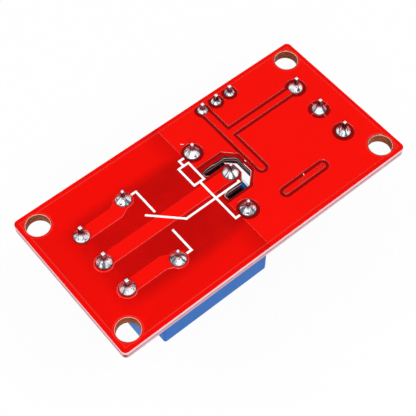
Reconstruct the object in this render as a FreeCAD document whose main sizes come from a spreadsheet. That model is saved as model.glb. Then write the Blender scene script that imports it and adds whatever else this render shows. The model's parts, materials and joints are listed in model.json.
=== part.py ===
import FreeCAD, Part
import math
import os
import re
import Sketcher

# Single-channel relay module board, lying on the flat top of its relay with the solder side up.
# The frame stands in the middle of the board's outline, with Z = 0 at the relay's top.

document = FreeCAD.newDocument("relay_module")
sheet = document.addObject("Spreadsheet::Sheet", "Sizes")

SIZES = {
    # Laminate, lacquered copper and print.
    "board_length": 50.0,
    "board_width": 25.0,
    "board_thickness": 1.6,
    "board_corner_radius": 0.7,
    "mount_hole_radius": 1.7,
    "mount_hole_inset": 2.5,
    "copper_thickness": 0.07,
    "pour_margin": 0.8,
    "pour_to_hole": 0.15,
    "pour_left_from_common": 3.45,
    "moat_width": 0.45,
    "signal_track_width": 1.0,
    "contact_track_width": 2.15,
    "track_bend_offset": 5.85,
    "trunk_shift": 0.13,
    "trunk_head_drop": 1.67,
    "trunk_foot_below": 2.03,
    "island_length": 6.87,
    "island_width": 0.9,
    "island_from_common": 3.92,
    "island_below_common": 7.23,
    "coil_moat_radius": 1.62,
    "input_moat_radius": 1.6,
    "input_pad_radius": 1.1,
    "header_moat_radius": 1.2,
    "header_pad_radius": 0.72,
    "contact_pad_radius": 1.43,
    "square_hole_ratio": 0.78,
    "round_hole_clearance": 0.12,
    "print_width": 0.32,
    "print_thickness": 0.03,
    # Isolation slot milled round the relay's common pin.
    "slot_outer_half": 2.95,
    "slot_tongue_half": 1.85,
    "slot_outer_reach": 2.4,
    "slot_tongue_reach": 1.35,
    "slot_arm_length": 3.05,
    "slot_corner_long": 1.7,
    "slot_corner_short": 1.3,
    "tongue_corner_inset": 0.5,
    "slot_end_radius": 0.5,
    "slot_drop": 0.25,
    "clearing_half": 3.6,
    "clearing_reach": 3.0,
    "clearing_corner_short": 1.85,
    "clearing_corner_long": 2.0,
    "spoke_width": 0.25,
    # Sealed relay.
    "relay_length": 19.5,
    "relay_side_margin": 1.6,
    "relay_height": 16.6,
    "relay_wall": 0.6,
    "relay_top_wall": 0.9,
    "relay_edge_radius": 0.4,
    "relay_top_edge_radius": 0.3,
    "relay_end_margin": 1.1,
    "relay_gap": 0.2,
    "relay_pin_y": -0.1,
    "relay_pin_radius": 0.33,
    "relay_pin_bevel": 0.16,
    "relay_pin_tip": 2.3,
    "relay_base_recess": 0.6,
    "relay_base_thickness": 1.6,
    "coil_pin_setback": 2.0,
    "contact_pin_setback": 14.2,
    "relay_pin_offset": 6.0,
    "yoke_thickness": 1.0,
    "yoke_width": 8.0,
    "yoke_back_reach": 0.4,
    "coil_setback": 5.0,
    "core_radius": 1.5,
    "pole_radius": 2.8,
    "pole_thickness": 0.6,
    "flange_radius": 4.1,
    "upper_flange_radius": 3.8,
    "flange_end_margin": 0.7,
    "coil_pin_rise": 1.2,
    "flange_thickness": 0.7,
    "bobbin_wall": 0.6,
    "winding_depth": 1.6,
    "coil_clearance": 0.05,
    "armature_thickness": 0.9,
    "armature_air_gap": 0.45,
    "armature_reach": 8.8,
    "armature_side_step": 0.2,
    "heel_half_width": 0.2,
    "heel_half_edge": 0.1,
    "blade_thickness": 0.3,
    "blade_width": 1.6,
    "blade_clearance": 0.4,
    "spring_thickness": 0.2,
    "spring_width": 3.0,
    "spring_tip_margin": 0.2,
    "spring_shoulder": 1.0,
    "spring_root_setback": 1.0,
    "contact_radius": 0.9,
    "contact_face_radius": 0.63,
    "button_radius": 0.77,
    "contact_height": 0.45,
    "contact_touch": 0.05,
    "contact_travel": 0.74,
    # Screw terminals.
    "terminal_pitch": 5.08,
    "terminal_height": 9.4,
    "pin_to_front": 1.95,
    "pin_to_back": 3.4,
    "front_lean": 1.6,
    "front_lean_start": 2.3,
    "output_pin_inset": 6.05,
    "output_pin_y": -0.2,
    "input_pin_inset": 4.93,
    "input_pin_y": 0.15,
    "output_leg": 0.64,
    "input_leg": 0.56,
    "terminal_pin_tip": 2.3,
    "terminal_pin_rounding": 0.14,
    "chamber_front": 0.05,
    "chamber_back": 2.95,
    "chamber_width": 3.9,
    "chamber_height": 7.6,
    "entry_width": 2.6,
    "entry_bottom": 1.5,
    "entry_height": 2.8,
    "foot_clearance": 0.1,
    "strip_thickness": 0.35,
    "strip_height": 0.45,
    "bar_inset": 0.3,
    "bar_height": 3.9,
    "screw_x": 1.4,
    "screw_radius": 0.85,
    "screw_head_radius": 1.22,
    "screw_head_height": 1.0,
    "screw_head_bevel": 0.2,
    "screw_seat": 8.0,
    "ledge_clearance": 0.15,
    "well_clearance": 0.08,
    "screw_end": 4.45,
    "screw_slot_width": 0.45,
    "screw_slot_depth": 0.55,
    "running_clearance": 0.05,
    "cage_length": 2.2,
    "cage_width": 3.6,
    "cage_bottom": 1.0,
    "cage_wall": 0.5,
    "cage_window": 2.9,
    "cage_top_wall": 0.9,
    # Trigger selection header and its jumper cap.
    "header_x": 9.45,
    "header_inset": 1.8,
    "header_pitch": 2.54,
    "header_depth": 2.5,
    "header_height": 2.5,
    "header_notch": 0.45,
    "header_pin": 0.6,
    "header_pin_bevel": 0.15,
    "header_pin_rise": 5.8,
    "header_pin_tip": 1.7,
    "cap_length": 5.0,
    "cap_depth": 2.4,
    "cap_lift": 0.1,
    "cap_height": 6.4,
    "cap_wall": 0.5,
    "cap_edge_radius": 0.25,
    "clip_clearance": 0.05,
    # Small parts soldered flat on the component side.
    "smd_lift": 0.1,
    "lead_thickness": 0.2,
    "lead_knee_ratio": 0.45,
    "mould_bevel": 0.15,
    "coupler_length": 4.4,
    "coupler_width": 4.1,
    "coupler_height": 2.0,
    "transistor_length": 1.3,
    "transistor_width": 2.9,
    "transistor_height": 0.95,
    "diode_length": 2.7,
    "diode_width": 1.7,
    "diode_height": 1.1,
    "chip_length": 2.0,
    "chip_width": 1.25,
    "chip_height": 0.5,
    "chip_end": 0.4,
    "led_lens_length": 0.96,
    "led_lens_width": 1.06,
    "led_lens_height": 0.35,
    "coupler_lead_width": 0.4,
    "coupler_lead_reach": 1.0,
    "coupler_lead_pitch": 2.54,
    "coupler_from_common": 4.9,
    "transistor_lead_width": 0.4,
    "transistor_lead_reach": 0.6,
    "transistor_lead_pitch": 1.9,
    "transistor_from_common": -0.9,
    "diode_lead_width": 0.6,
    "diode_lead_reach": 0.6,
    "diode_from_common": -5.6,
    "resistor_pitch": 2.2,
    "resistor_from_common": 0.3,
    "led_edge_inset": 2.2,
    "pad_overhang": 0.15,
    "pad_middle_ratio": 0.75,
    "pad_length_ratio": 0.9,
    "near_column_share": 0.27,
    "far_column_share": 0.72,
    # Solder joints.
    "output_joint_radius": 1.2,
    "output_joint_height": 1.35,
    "input_joint_radius": 1.12,
    "input_joint_height": 1.3,
    "relay_joint_radius": 1.22,
    "relay_joint_height": 1.35,
    "header_joint_radius": 0.72,
    "header_joint_height": 0.75,
    "joint_rim": 0.12,
    "joint_waist_radius_ratio": 0.62,
    "joint_waist_height_ratio": 0.46,
    "solder_gap": 0.02,
}

for row, (alias, size) in enumerate(SIZES.items(), 1):
    sheet.set(f"A{row}", str(size))
    sheet.setAlias(f"A{row}", alias)
document.recompute()


def sized(expression):
    """The expression with each size's name pointed at its cell in the sheet."""
    return re.sub(r"[a-z][a-z_]*", lambda word: "Sizes." + word.group(0), str(expression))


def number(alias):
    return float(getattr(sheet, alias))


pieces = []


def keep(item, label):
    item.Label = label
    pieces.append(item)
    return item


def new_body(label):
    return keep(document.addObject("PartDesign::Body", label), label)


def origin_plane(body, role):
    return [feature for feature in body.Origin.OriginFeatures if feature.Role == role][0]


def new_sketch(body, name, role="XY_Plane", lift=None):
    sketch = body.newObject("Sketcher::SketchObject", name)
    sketch.AttachmentSupport = [(origin_plane(body, role), "")]
    sketch.MapMode = "FlatFace"
    if lift is not None:
        sketch.setExpression("AttachmentOffset.Base.z", sized(lift))
    return sketch


def constrain(sketch, kind, geometry, *rest):
    expression = rest[-1]
    index = sketch.addConstraint(Sketcher.Constraint(kind, geometry, *rest[:-1], 1.0))
    sketch.setExpression(f"Constraints[{index}]", sized(expression))


def draw_loop(sketch, points):
    """A closed run of straight lines whose corners are held by expressions."""
    first = sketch.GeometryCount
    count = len(points)
    for step in range(count):
        start = FreeCAD.Vector(step, step * step, 0)
        end = FreeCAD.Vector(step + 1, (step + 1) ** 2, 0)
        sketch.addGeometry(Part.LineSegment(start, end), False)
    for step in range(count):
        following = first + (step + 1) % count
        sketch.addConstraint(Sketcher.Constraint("Coincident", first + step, 2, following, 1))
    for step, (across, along) in enumerate(points):
        constrain(sketch, "DistanceX", first + step, 1, across)
        constrain(sketch, "DistanceY", first + step, 1, along)


def draw_box(sketch, left, right, low, high):
    draw_loop(sketch, [(left, low), (right, low), (right, high), (left, high)])


def draw_circle(sketch, across, along, radius):
    circle = Part.Circle(FreeCAD.Vector(1, 1, 0), FreeCAD.Vector(0, 0, 1), 1.0)
    index = sketch.addGeometry(circle, False)
    constrain(sketch, "Radius", index, radius)
    constrain(sketch, "DistanceX", index, 3, across)
    constrain(sketch, "DistanceY", index, 3, along)


def pad(body, sketch, length, symmetric=False, reverse=False):
    feature = body.newObject("PartDesign::Pad", sketch.Name + "_pad")
    feature.Profile = sketch
    feature.SideType = "Symmetric" if symmetric else "One side"
    feature.Reversed = reverse
    feature.setExpression("Length", sized(length))
    document.recompute()
    return feature


def pocket(body, sketch, length=None, symmetric=False, reverse=False):
    """A cut along the sketch's normal. It has to take something away."""
    before = body.Shape.Volume
    feature = body.newObject("PartDesign::Pocket", sketch.Name + "_cut")
    feature.Profile = sketch
    feature.SideType = "Symmetric" if symmetric else "One side"
    feature.Reversed = reverse
    if length is None:
        feature.Type = "ThroughAll"
    else:
        feature.setExpression("Length", sized(length))
    document.recompute()
    if body.Shape.Volume >= before - 1e-6:
        raise ValueError(f"{feature.Name} cuts nothing")
    return feature


def edges_where(shape, test):
    return [f"Edge{index}" for index, edge in enumerate(shape.Edges, 1) if test(edge)]


def is_upright(edge):
    ends = [vertex.Point for vertex in edge.Vertexes]
    return len(ends) == 2 and math.hypot(ends[0].x - ends[1].x, ends[0].y - ends[1].y) < 1e-6


def round_edges(body, base, test, radius):
    feature = body.newObject("PartDesign::Fillet", base.Name + "_round")
    feature.Base = (base, edges_where(base.Shape, test))
    feature.setExpression("Radius", sized(radius))
    document.recompute()
    return feature


def bevel_edges(body, base, test, size):
    feature = body.newObject("PartDesign::Chamfer", base.Name + "_bevel")
    feature.Base = (base, edges_where(base.Shape, test))
    feature.setExpression("Size", sized(size))
    document.recompute()
    return feature


def place(item, across, along, up, turn=None):
    """Puts a piece at expressions in the row frame, turned about an axis by half a turn."""
    if turn is not None:
        item.Placement = FreeCAD.Placement(FreeCAD.Vector(), FreeCAD.Rotation(turn, 180))
    for axis, expression in (("x", across), ("y", along), ("z", up)):
        item.setExpression(f"Placement.Base.{axis}", sized(expression))


# A component faces down from the board, so its own frame has z growing away from the board,
# and is turned over when the component is placed.
OVER_X = FreeCAD.Vector(1, 0, 0)
OVER_Y = FreeCAD.Vector(0, 1, 0)
COMPONENT_FACE = "relay_height"

OUTPUT_X = "(-board_length / 2 + output_pin_inset)"
INPUT_X = "(board_length / 2 - input_pin_inset)"
COMMON_X = (
    "(-board_length / 2 + output_pin_inset + pin_to_back + relay_gap"
    " + relay_length - relay_end_margin)"
)
HEADER_Y = "(board_width / 2 - header_inset)"

board_length = number("board_length")
board_width = number("board_width")
output_x = -board_length / 2 + number("output_pin_inset")
input_x = board_length / 2 - number("input_pin_inset")
common_x = (
    output_x
    + number("pin_to_back")
    + number("relay_gap")
    + number("relay_length")
    - number("relay_end_margin")
)
header_y = board_width / 2 - number("header_inset")
pitch = number("terminal_pitch")
component_face = number("relay_height")
solder_face = component_face + number("board_thickness")

WAYS = (-1, 0, 1)
SIDES = (-1, 1)
output_pins = [(output_x, number("output_pin_y") + way * pitch) for way in WAYS]
input_pins = [(input_x, number("input_pin_y") + way * pitch) for way in WAYS]
header_pins = [
    (number("header_x") + way * number("header_pitch"), header_y) for way in WAYS
]
common_pin = (common_x, number("relay_pin_y"))
coil_pins = [
    (common_x - number("coil_pin_setback"), number("relay_pin_y") + side * number("relay_pin_offset"))
    for side in SIDES
]
contact_pins = [
    (common_x - number("contact_pin_setback"), number("relay_pin_y") + side * number("relay_pin_offset"))
    for side in SIDES
]

# Circuit board: a routed laminate with four mounting holes, a hole for each pin and the
# octagonal slot that keeps the relay's common contact clear of its coil.
board = new_body("circuit_board")
outline = new_sketch(board, "board_outline")
draw_box(outline, "-board_length / 2", "board_length / 2", "-board_width / 2", "board_width / 2")
slab = pad(board, outline, "board_thickness")
slab = round_edges(board, slab, is_upright, "board_corner_radius")

mount_holes = new_sketch(board, "mount_holes")
for side in SIDES:
    for end in SIDES:
        draw_circle(
            mount_holes,
            f"{end} * (board_length / 2 - mount_hole_inset)",
            f"{side} * (board_width / 2 - mount_hole_inset)",
            "mount_hole_radius",
        )
pocket(board, mount_holes, reverse=True)

pin_holes = new_sketch(board, "pin_holes")
for way in WAYS:
    for across, along, pin_size in (
        (OUTPUT_X, f"output_pin_y + {way} * terminal_pitch", "output_leg"),
        (INPUT_X, f"input_pin_y + {way} * terminal_pitch", "input_leg"),
        (f"header_x + {way} * header_pitch", HEADER_Y, "header_pin"),
    ):
        draw_circle(pin_holes, across, along, f"{pin_size} * square_hole_ratio")
draw_circle(pin_holes, COMMON_X, "relay_pin_y", "relay_pin_radius + round_hole_clearance")
for side in SIDES:
    for setback in ("coil_pin_setback", "contact_pin_setback"):
        draw_circle(
            pin_holes,
            f"{COMMON_X} - {setback}",
            f"relay_pin_y + {side} * relay_pin_offset",
            "relay_pin_radius + round_hole_clearance",
        )
pocket(board, pin_holes, reverse=True)

slot = new_sketch(board, "isolation_slot")
ARM_END = f"{COMMON_X} - slot_arm_length"
OUTER_END = f"{COMMON_X} + slot_outer_reach"
TONGUE_END = f"{COMMON_X} + slot_tongue_reach"
SLOT_Y = "(relay_pin_y - slot_drop)"
draw_loop(
    slot,
    [
        (ARM_END, f"{SLOT_Y} + slot_outer_half"),
        (f"{OUTER_END} - slot_corner_short", f"{SLOT_Y} + slot_outer_half"),
        (OUTER_END, f"{SLOT_Y} + slot_outer_half - slot_corner_short"),
        (OUTER_END, f"{SLOT_Y} - slot_outer_half + slot_corner_long"),
        (f"{OUTER_END} - slot_corner_long", f"{SLOT_Y} - slot_outer_half"),
        (ARM_END, f"{SLOT_Y} - slot_outer_half"),
        (ARM_END, f"{SLOT_Y} - slot_tongue_half"),
        (f"{TONGUE_END} - slot_corner_long + tongue_corner_inset", f"{SLOT_Y} - slot_tongue_half"),
        (TONGUE_END, f"{SLOT_Y} - slot_tongue_half + slot_corner_long - tongue_corner_inset"),
        (TONGUE_END, f"{SLOT_Y} + slot_tongue_half - slot_corner_short + tongue_corner_inset"),
        (f"{TONGUE_END} - slot_corner_short + tongue_corner_inset", f"{SLOT_Y} + slot_tongue_half"),
        (ARM_END, f"{SLOT_Y} + slot_tongue_half"),
    ],
)
slot_cut = pocket(board, slot, reverse=True)
arm_end = common_x - number("slot_arm_length")


def at_slot_end(edge):
    return is_upright(edge) and abs(edge.Vertexes[0].X - arm_end) < 1e-6


round_edges(board, slot_cut, at_slot_end, "slot_end_radius")
place(board, "0", "0", COMPONENT_FACE)


# Lacquered copper on the solder side: thin raised fields, worked out in the row frame.
def bar(start, end, width, low, thickness, overrun=0.0):
    """A straight strip, which runs past both its points by the overrun."""
    run = FreeCAD.Vector(end[0] - start[0], end[1] - start[1], 0)
    corner = FreeCAD.Vector(-overrun, -width / 2, 0)
    strip = Part.makeBox(run.Length + 2 * overrun, width, thickness, corner)
    turn = FreeCAD.Rotation(FreeCAD.Vector(1, 0, 0), run)
    strip.Placement = FreeCAD.Placement(FreeCAD.Vector(start[0], start[1], low), turn)
    return strip


def disc(centre, radius, low, thickness):
    return Part.makeCylinder(radius, thickness, FreeCAD.Vector(centre[0], centre[1], low))


def track(points, width, low, thickness):
    """A run of strips with a disc at each point, so that its ends and bends are round."""
    discs = [disc(point, width / 2, low, thickness) for point in points]
    strips = [bar(a, b, width, low, thickness) for a, b in zip(points, points[1:])]
    return strips[0].multiFuse(strips[1:] + discs).removeSplitter()


def slab_of(points, low, thickness):
    wire = Part.makePolygon([FreeCAD.Vector(x, y, low) for x, y in points + points[:1]])
    return Part.Face(wire).extrude(FreeCAD.Vector(0, 0, thickness))


def add_shape(label, shape):
    item = document.addObject("Part::Feature", label)
    item.Shape = shape
    return keep(item, label)


copper = number("copper_thickness")
moat = number("moat_width")
track_width = number("signal_track_width")
centre_y = number("relay_pin_y")
outer_half = number("clearing_half")
outer_end = common_x + number("clearing_reach")
pour_left = common_x - number("pour_left_from_common")
margin = number("pour_margin")
short_corner = number("clearing_corner_short")
long_corner = number("clearing_corner_long")

trunk_top = header_pins[0]
trunk_x = trunk_top[0] + number("trunk_shift")
trunk_foot = (trunk_x, centre_y - number("trunk_foot_below"))
trunk_head = (trunk_x, trunk_top[1] - number("trunk_head_drop"))
branch_foot = (trunk_x, input_pins[2][1])
island_start = (
    common_x + number("island_from_common"),
    centre_y - number("island_below_common"),
)
island_end = (island_start[0] + number("island_length"), island_start[1])


def ground_pour():
    """The big copper field on the control half, with a moat round what it must not touch."""
    deep = copper * 3
    low = solder_face - copper
    field = Part.makeBox(
        board_length / 2 - margin - pour_left,
        board_width - 2 * margin,
        copper,
        FreeCAD.Vector(pour_left, -board_width / 2 + margin, solder_face),
    )
    cuts = [
        slab_of(
            [
                (pour_left - 1, centre_y + outer_half),
                (outer_end - short_corner, centre_y + outer_half),
                (outer_end, centre_y + outer_half - short_corner),
                (outer_end, centre_y - outer_half + long_corner),
                (outer_end - long_corner, centre_y - outer_half),
                (pour_left - 1, centre_y - outer_half),
            ],
            low,
            deep,
        )
    ]
    cuts += [disc(pin, number("coil_moat_radius"), low, deep) for pin in coil_pins]
    cuts += [disc(pin, number("input_moat_radius"), low, deep) for pin in input_pins]
    cuts += [disc(pin, number("header_moat_radius"), low, deep) for pin in header_pins]
    wide = track_width + 2 * moat
    cuts.append(track([trunk_top, trunk_head, trunk_foot], wide, low, deep))
    cuts.append(track([branch_foot, input_pins[2]], wide, low, deep))
    cuts.append(track([island_start, island_end], number("island_width") + 2 * moat, low, deep))
    hole = number("mount_hole_radius") + number("pour_to_hole")
    reach_x = board_length / 2 - number("mount_hole_inset")
    reach_y = board_width / 2 - number("mount_hole_inset")
    cuts += [disc((reach_x, side * reach_y), hole, low, deep) for side in SIDES]
    middle = input_pins[1]
    spoke = number("input_moat_radius") + number("spoke_width")
    joined = [disc(middle, number("input_pad_radius"), solder_face, copper)]
    for across, along in ((spoke, 0), (0, spoke)):
        start = (middle[0] - across, middle[1] - along)
        end = (middle[0] + across, middle[1] + along)
        joined.append(bar(start, end, number("spoke_width"), solder_face, copper))
    return field.cut(cuts).fuse(joined).removeSplitter()


def with_holes(shape, pins, radius):
    low = solder_face - copper
    return shape.cut([disc(pin, radius, low, copper * 3) for pin in pins])


input_hole = number("input_leg") * number("square_hole_ratio")
output_hole = number("output_leg") * number("square_hole_ratio")
header_hole = number("header_pin") * number("square_hole_ratio")
relay_hole = number("relay_pin_radius") + number("round_hole_clearance")
add_shape("ground_pour", with_holes(ground_pour(), [input_pins[1]], input_hole))

trunk = track([trunk_top, trunk_head, trunk_foot], track_width, solder_face, copper)
branch = track([branch_foot, input_pins[2]], track_width, solder_face, copper)
trunk = trunk.fuse([
    branch,
    disc(trunk_top, number("header_pad_radius"), solder_face, copper),
    disc(input_pins[2], number("input_pad_radius"), solder_face, copper),
]).removeSplitter()
trunk = with_holes(trunk, [trunk_top], header_hole)
trunk = with_holes(trunk, [input_pins[2]], input_hole)
island = track([island_start, island_end], number("island_width"), solder_face, copper)
add_shape("signal_tracks", Part.makeCompound([trunk, island]))

contact_width = number("contact_track_width")
output_y = number("output_pin_y")
bend_x = output_x + number("track_bend_offset")
band_y = (output_y + centre_y) / 2
band = track([(output_x, band_y), (common_x, band_y)], contact_width, solder_face, copper)
band = with_holes(with_holes(band, [output_pins[1]], output_hole), [common_pin], relay_hole)
contact_tracks = [band]
for pin, relay_pin in ((output_pins[0], contact_pins[0]), (output_pins[2], contact_pins[1])):
    run = track([pin, (bend_x, pin[1]), relay_pin], contact_width, solder_face, copper)
    end = disc(relay_pin, number("contact_pad_radius"), solder_face, copper)
    run = run.fuse(end).removeSplitter()
    run = with_holes(with_holes(run, [pin], output_hole), [relay_pin], relay_hole)
    contact_tracks.append(run)
add_shape("contact_tracks", Part.makeCompound(contact_tracks))

# White print of the relay's symbol: coil box, its leads, the switching arm and both contacts.
print_low = solder_face + copper
stroke = number("print_width")
print_layer = number("print_thickness")


def from_common(across, along):
    return (common_x + across, centre_y + along)


SYMBOL = [
    [(-3.5, 5.02), (-5.25, 5.02), (-5.25, 1.57), (-3.5, 1.57), (-3.5, 5.02)],
    [(-4.35, 5.02), (-4.35, 6.02), (-3.65, 6.02)],
    [(-4.25, 1.57), (-4.25, -6.08), (-3.65, -6.08)],
    [(-0.05, -1.73), (-0.05, -1.88), (-9.45, -1.88), (-13.35, 2.02)],
    [(-12.75, 5.92), (-12.1, 5.92), (-12.1, 1.82)],
    [(-12.0, -2.18), (-12.0, -6.08), (-12.65, -6.08)],
]


def printed_line(points):
    places = [from_common(*point) for point in points]
    strips = [
        bar(a, b, stroke, print_low, print_layer, stroke / 2) for a, b in zip(places, places[1:])
    ]
    return strips[0].multiFuse(strips[1:]).removeSplitter()


symbol = [printed_line(points) for points in SYMBOL]
add_shape("relay_symbol", symbol[0].multiFuse(symbol[1:]).removeSplitter())


# Sealed relay, turned over onto the board. Its frame has x = 0 at the common pin, z = 0 at the board.
def place_relay(item):
    place(item, COMMON_X, "relay_pin_y", COMPONENT_FACE, OVER_X)


RELAY_FAR = "(relay_end_margin - relay_length)"
RELAY_HALF = "(relay_pin_offset + relay_side_margin)"
case = new_body("relay_case")
case_outline = new_sketch(case, "case_outline")
draw_box(case_outline, RELAY_FAR, "relay_end_margin", f"-{RELAY_HALF}", RELAY_HALF)
case_block = pad(case, case_outline, "relay_height")
case_block = round_edges(case, case_block, is_upright, "relay_edge_radius")


def at_case_top(edge):
    return min(vertex.Z for vertex in edge.Vertexes) > number("relay_height") - 1e-6


case_block = round_edges(case, case_block, at_case_top, "relay_top_edge_radius")
cavity = new_sketch(case, "case_cavity")
draw_box(
    cavity,
    f"{RELAY_FAR} + relay_wall",
    "relay_end_margin - relay_wall",
    f"-{RELAY_HALF} + relay_wall",
    f"{RELAY_HALF} - relay_wall",
)
pocket(case, cavity, "relay_height - relay_top_wall", reverse=True)
place_relay(case)

BASE_TOP = "(relay_base_recess + relay_base_thickness)"
base = new_body("relay_base")
base_outline = new_sketch(base, "base_outline", lift="relay_base_recess")
draw_box(
    base_outline,
    f"{RELAY_FAR} + relay_wall + solder_gap",
    "relay_end_margin - relay_wall - solder_gap",
    f"-{RELAY_HALF} + relay_wall + solder_gap",
    f"{RELAY_HALF} - relay_wall - solder_gap",
)
pad(base, base_outline, "relay_base_thickness")
base_holes = new_sketch(base, "base_holes")
draw_circle(base_holes, "0", "0", "relay_pin_radius + solder_gap")
for side in SIDES:
    for setback in ("coil_pin_setback", "contact_pin_setback"):
        draw_circle(
            base_holes,
            f"-{setback}",
            f"{side} * relay_pin_offset",
            "relay_pin_radius + solder_gap",
        )
pocket(base, base_holes, reverse=True)
place_relay(base)

PIN_FOOT = "(-board_thickness - relay_pin_tip)"


def add_relay_pin(body, across, along, top):
    sketch = new_sketch(body, body.Name + "_pin", lift=PIN_FOOT)
    draw_circle(sketch, across, along, "relay_pin_radius")
    feature = pad(body, sketch, f"{top} - {PIN_FOOT}")
    foot = -number("board_thickness") - number("relay_pin_tip")
    bevel_edges(
        body,
        feature,
        lambda edge: max(vertex.Z for vertex in edge.Vertexes) < foot + 1e-6,
        "relay_pin_bevel",
    )


# The yoke's height leaves room over it for the armature, the spring and both contacts.
CONTACT_STACK = "(2 * contact_height + contact_touch + blade_thickness + blade_clearance)"
ARMATURE_STACK = "(armature_air_gap + armature_thickness + spring_thickness)"
YOKE_TOP = f"(relay_height - relay_top_wall - {CONTACT_STACK} - {ARMATURE_STACK})"
common = new_body("relay_common_pin")
add_relay_pin(common, "0", "0", BASE_TOP)
place_relay(common)

FLANGE_LOW = f"({BASE_TOP} + yoke_thickness + coil_clearance)"
FLANGE_TOP = f"({YOKE_TOP} - pole_thickness - coil_clearance)"
COIL_PIN_TOP = f"({FLANGE_LOW} + coil_pin_rise)"
for side, name in ((-1, "relay_coil_pin_left"), (1, "relay_coil_pin_right")):
    coil_pin = new_body(name)
    add_relay_pin(coil_pin, "-coil_pin_setback", f"{side} * relay_pin_offset", COIL_PIN_TOP)
    place_relay(coil_pin)

yoke = new_body("relay_yoke")
yoke_profile = new_sketch(yoke, "yoke_profile", "XZ_Plane")
YOKE_END = "(-coil_setback - flange_radius)"
draw_loop(
    yoke_profile,
    [
        (YOKE_END, BASE_TOP),
        ("yoke_back_reach", BASE_TOP),
        ("yoke_back_reach", YOKE_TOP),
        ("yoke_back_reach - yoke_thickness", YOKE_TOP),
        ("yoke_back_reach - yoke_thickness", f"{BASE_TOP} + yoke_thickness"),
        (YOKE_END, f"{BASE_TOP} + yoke_thickness"),
    ],
)
pad(yoke, yoke_profile, "yoke_width", symmetric=True)
core_hole = new_sketch(yoke, "core_hole")
draw_circle(core_hole, "-coil_setback", "0", "core_radius + solder_gap")
pocket(yoke, core_hole, f"{BASE_TOP} + 2 * yoke_thickness", reverse=True)
place_relay(yoke)

core = new_body("relay_core")
core_profile = new_sketch(core, "core_profile", "XZ_Plane")
draw_loop(
    core_profile,
    [
        ("-coil_setback", BASE_TOP),
        ("-coil_setback + core_radius", BASE_TOP),
        ("-coil_setback + core_radius", f"{YOKE_TOP} - pole_thickness"),
        ("-coil_setback + pole_radius", f"{YOKE_TOP} - pole_thickness"),
        ("-coil_setback + pole_radius", YOKE_TOP),
        ("-coil_setback", YOKE_TOP),
    ],
)


def turned(body, sketch):
    """Revolves a profile about its own first side, taken as the last line drawn."""
    feature = body.newObject("PartDesign::Revolution", sketch.Name + "_turned")
    feature.Profile = sketch
    feature.ReferenceAxis = (sketch, [f"Edge{sketch.GeometryCount}"])
    feature.Angle = 360
    document.recompute()
    return feature


turned(core, core_profile)
place_relay(core)

bobbin = new_body("relay_bobbin")
tube_inner = "core_radius + coil_clearance"
tube_outer = "core_radius + coil_clearance + bobbin_wall"
flange = new_sketch(bobbin, "lower_flange", lift=FLANGE_LOW)
draw_box(
    flange,
    "-coil_setback - flange_radius",
    "yoke_back_reach - yoke_thickness - coil_clearance",
    "-relay_pin_offset - flange_end_margin",
    "relay_pin_offset + flange_end_margin",
)
pad(bobbin, flange, "flange_thickness")
tube = new_sketch(bobbin, "bobbin_tube", lift=FLANGE_LOW)
draw_circle(tube, "-coil_setback", "0", tube_outer)
pad(bobbin, tube, f"{FLANGE_TOP} - {FLANGE_LOW}")
top_flange = new_sketch(bobbin, "upper_flange", lift=f"{FLANGE_TOP} - flange_thickness")
draw_circle(top_flange, "-coil_setback", "0", "upper_flange_radius")
pad(bobbin, top_flange, "flange_thickness")
bores = new_sketch(bobbin, "bobbin_bores")
draw_circle(bores, "-coil_setback", "0", tube_inner)
for side in SIDES:
    draw_circle(bores, "-coil_pin_setback", f"{side} * relay_pin_offset", "relay_pin_radius + solder_gap")
pocket(bobbin, bores, reverse=True)
place_relay(bobbin)

winding = new_body("relay_winding")
winding_ring = new_sketch(winding, "winding_ring", lift=f"{FLANGE_LOW} + flange_thickness + coil_clearance")
draw_circle(winding_ring, "-coil_setback", "0", f"{tube_outer} + coil_clearance + winding_depth")
draw_circle(winding_ring, "-coil_setback", "0", f"{tube_outer} + coil_clearance")
pad(winding, winding_ring, f"{FLANGE_TOP} - {FLANGE_LOW} - 2 * flange_thickness - 2 * coil_clearance")
place_relay(winding)

# Rocking armature with its contact spring and rivet. It is hinged on the yoke's top edge.
ARMATURE_LOW = f"({YOKE_TOP} + armature_air_gap)"
SPRING_LOW = f"({ARMATURE_LOW} + armature_thickness)"
SPRING_TOP = f"({SPRING_LOW} + spring_thickness)"
armature = new_body("relay_armature")
plate = new_sketch(armature, "armature_plate", lift=ARMATURE_LOW)
HALF_ARMATURE = "(yoke_width / 2 - armature_side_step)"
draw_box(plate, "-armature_reach", "yoke_back_reach", f"-{HALF_ARMATURE}", HALF_ARMATURE)
pad(armature, plate, "armature_thickness")
knife = new_sketch(armature, "armature_heel", "XZ_Plane")
draw_loop(
    knife,
    [
        ("-heel_half_width", ARMATURE_LOW),
        ("-heel_half_edge", f"{YOKE_TOP} + contact_touch"),
        ("heel_half_edge", f"{YOKE_TOP} + contact_touch"),
        ("heel_half_width", ARMATURE_LOW),
    ],
)
pad(armature, knife, f"2 * {HALF_ARMATURE}", symmetric=True)
place_relay(armature)

spring = new_body("relay_contact_spring")
leaf = new_sketch(spring, "spring_leaf", lift=SPRING_LOW)
draw_loop(
    leaf,
    [
        ("-contact_pin_setback - contact_radius - spring_tip_margin", "-contact_radius"),
        ("-armature_reach - spring_shoulder", "-spring_width / 2"),
        ("-spring_root_setback", "-spring_width / 2"),
        ("-spring_root_setback", "spring_width / 2"),
        ("-armature_reach - spring_shoulder", "spring_width / 2"),
        ("-contact_pin_setback - contact_radius - spring_tip_margin", "contact_radius"),
    ],
)
draw_circle(leaf, "-contact_pin_setback", "0", "contact_radius / 2 + solder_gap")
pad(spring, leaf, "spring_thickness")
place_relay(spring)

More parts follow.
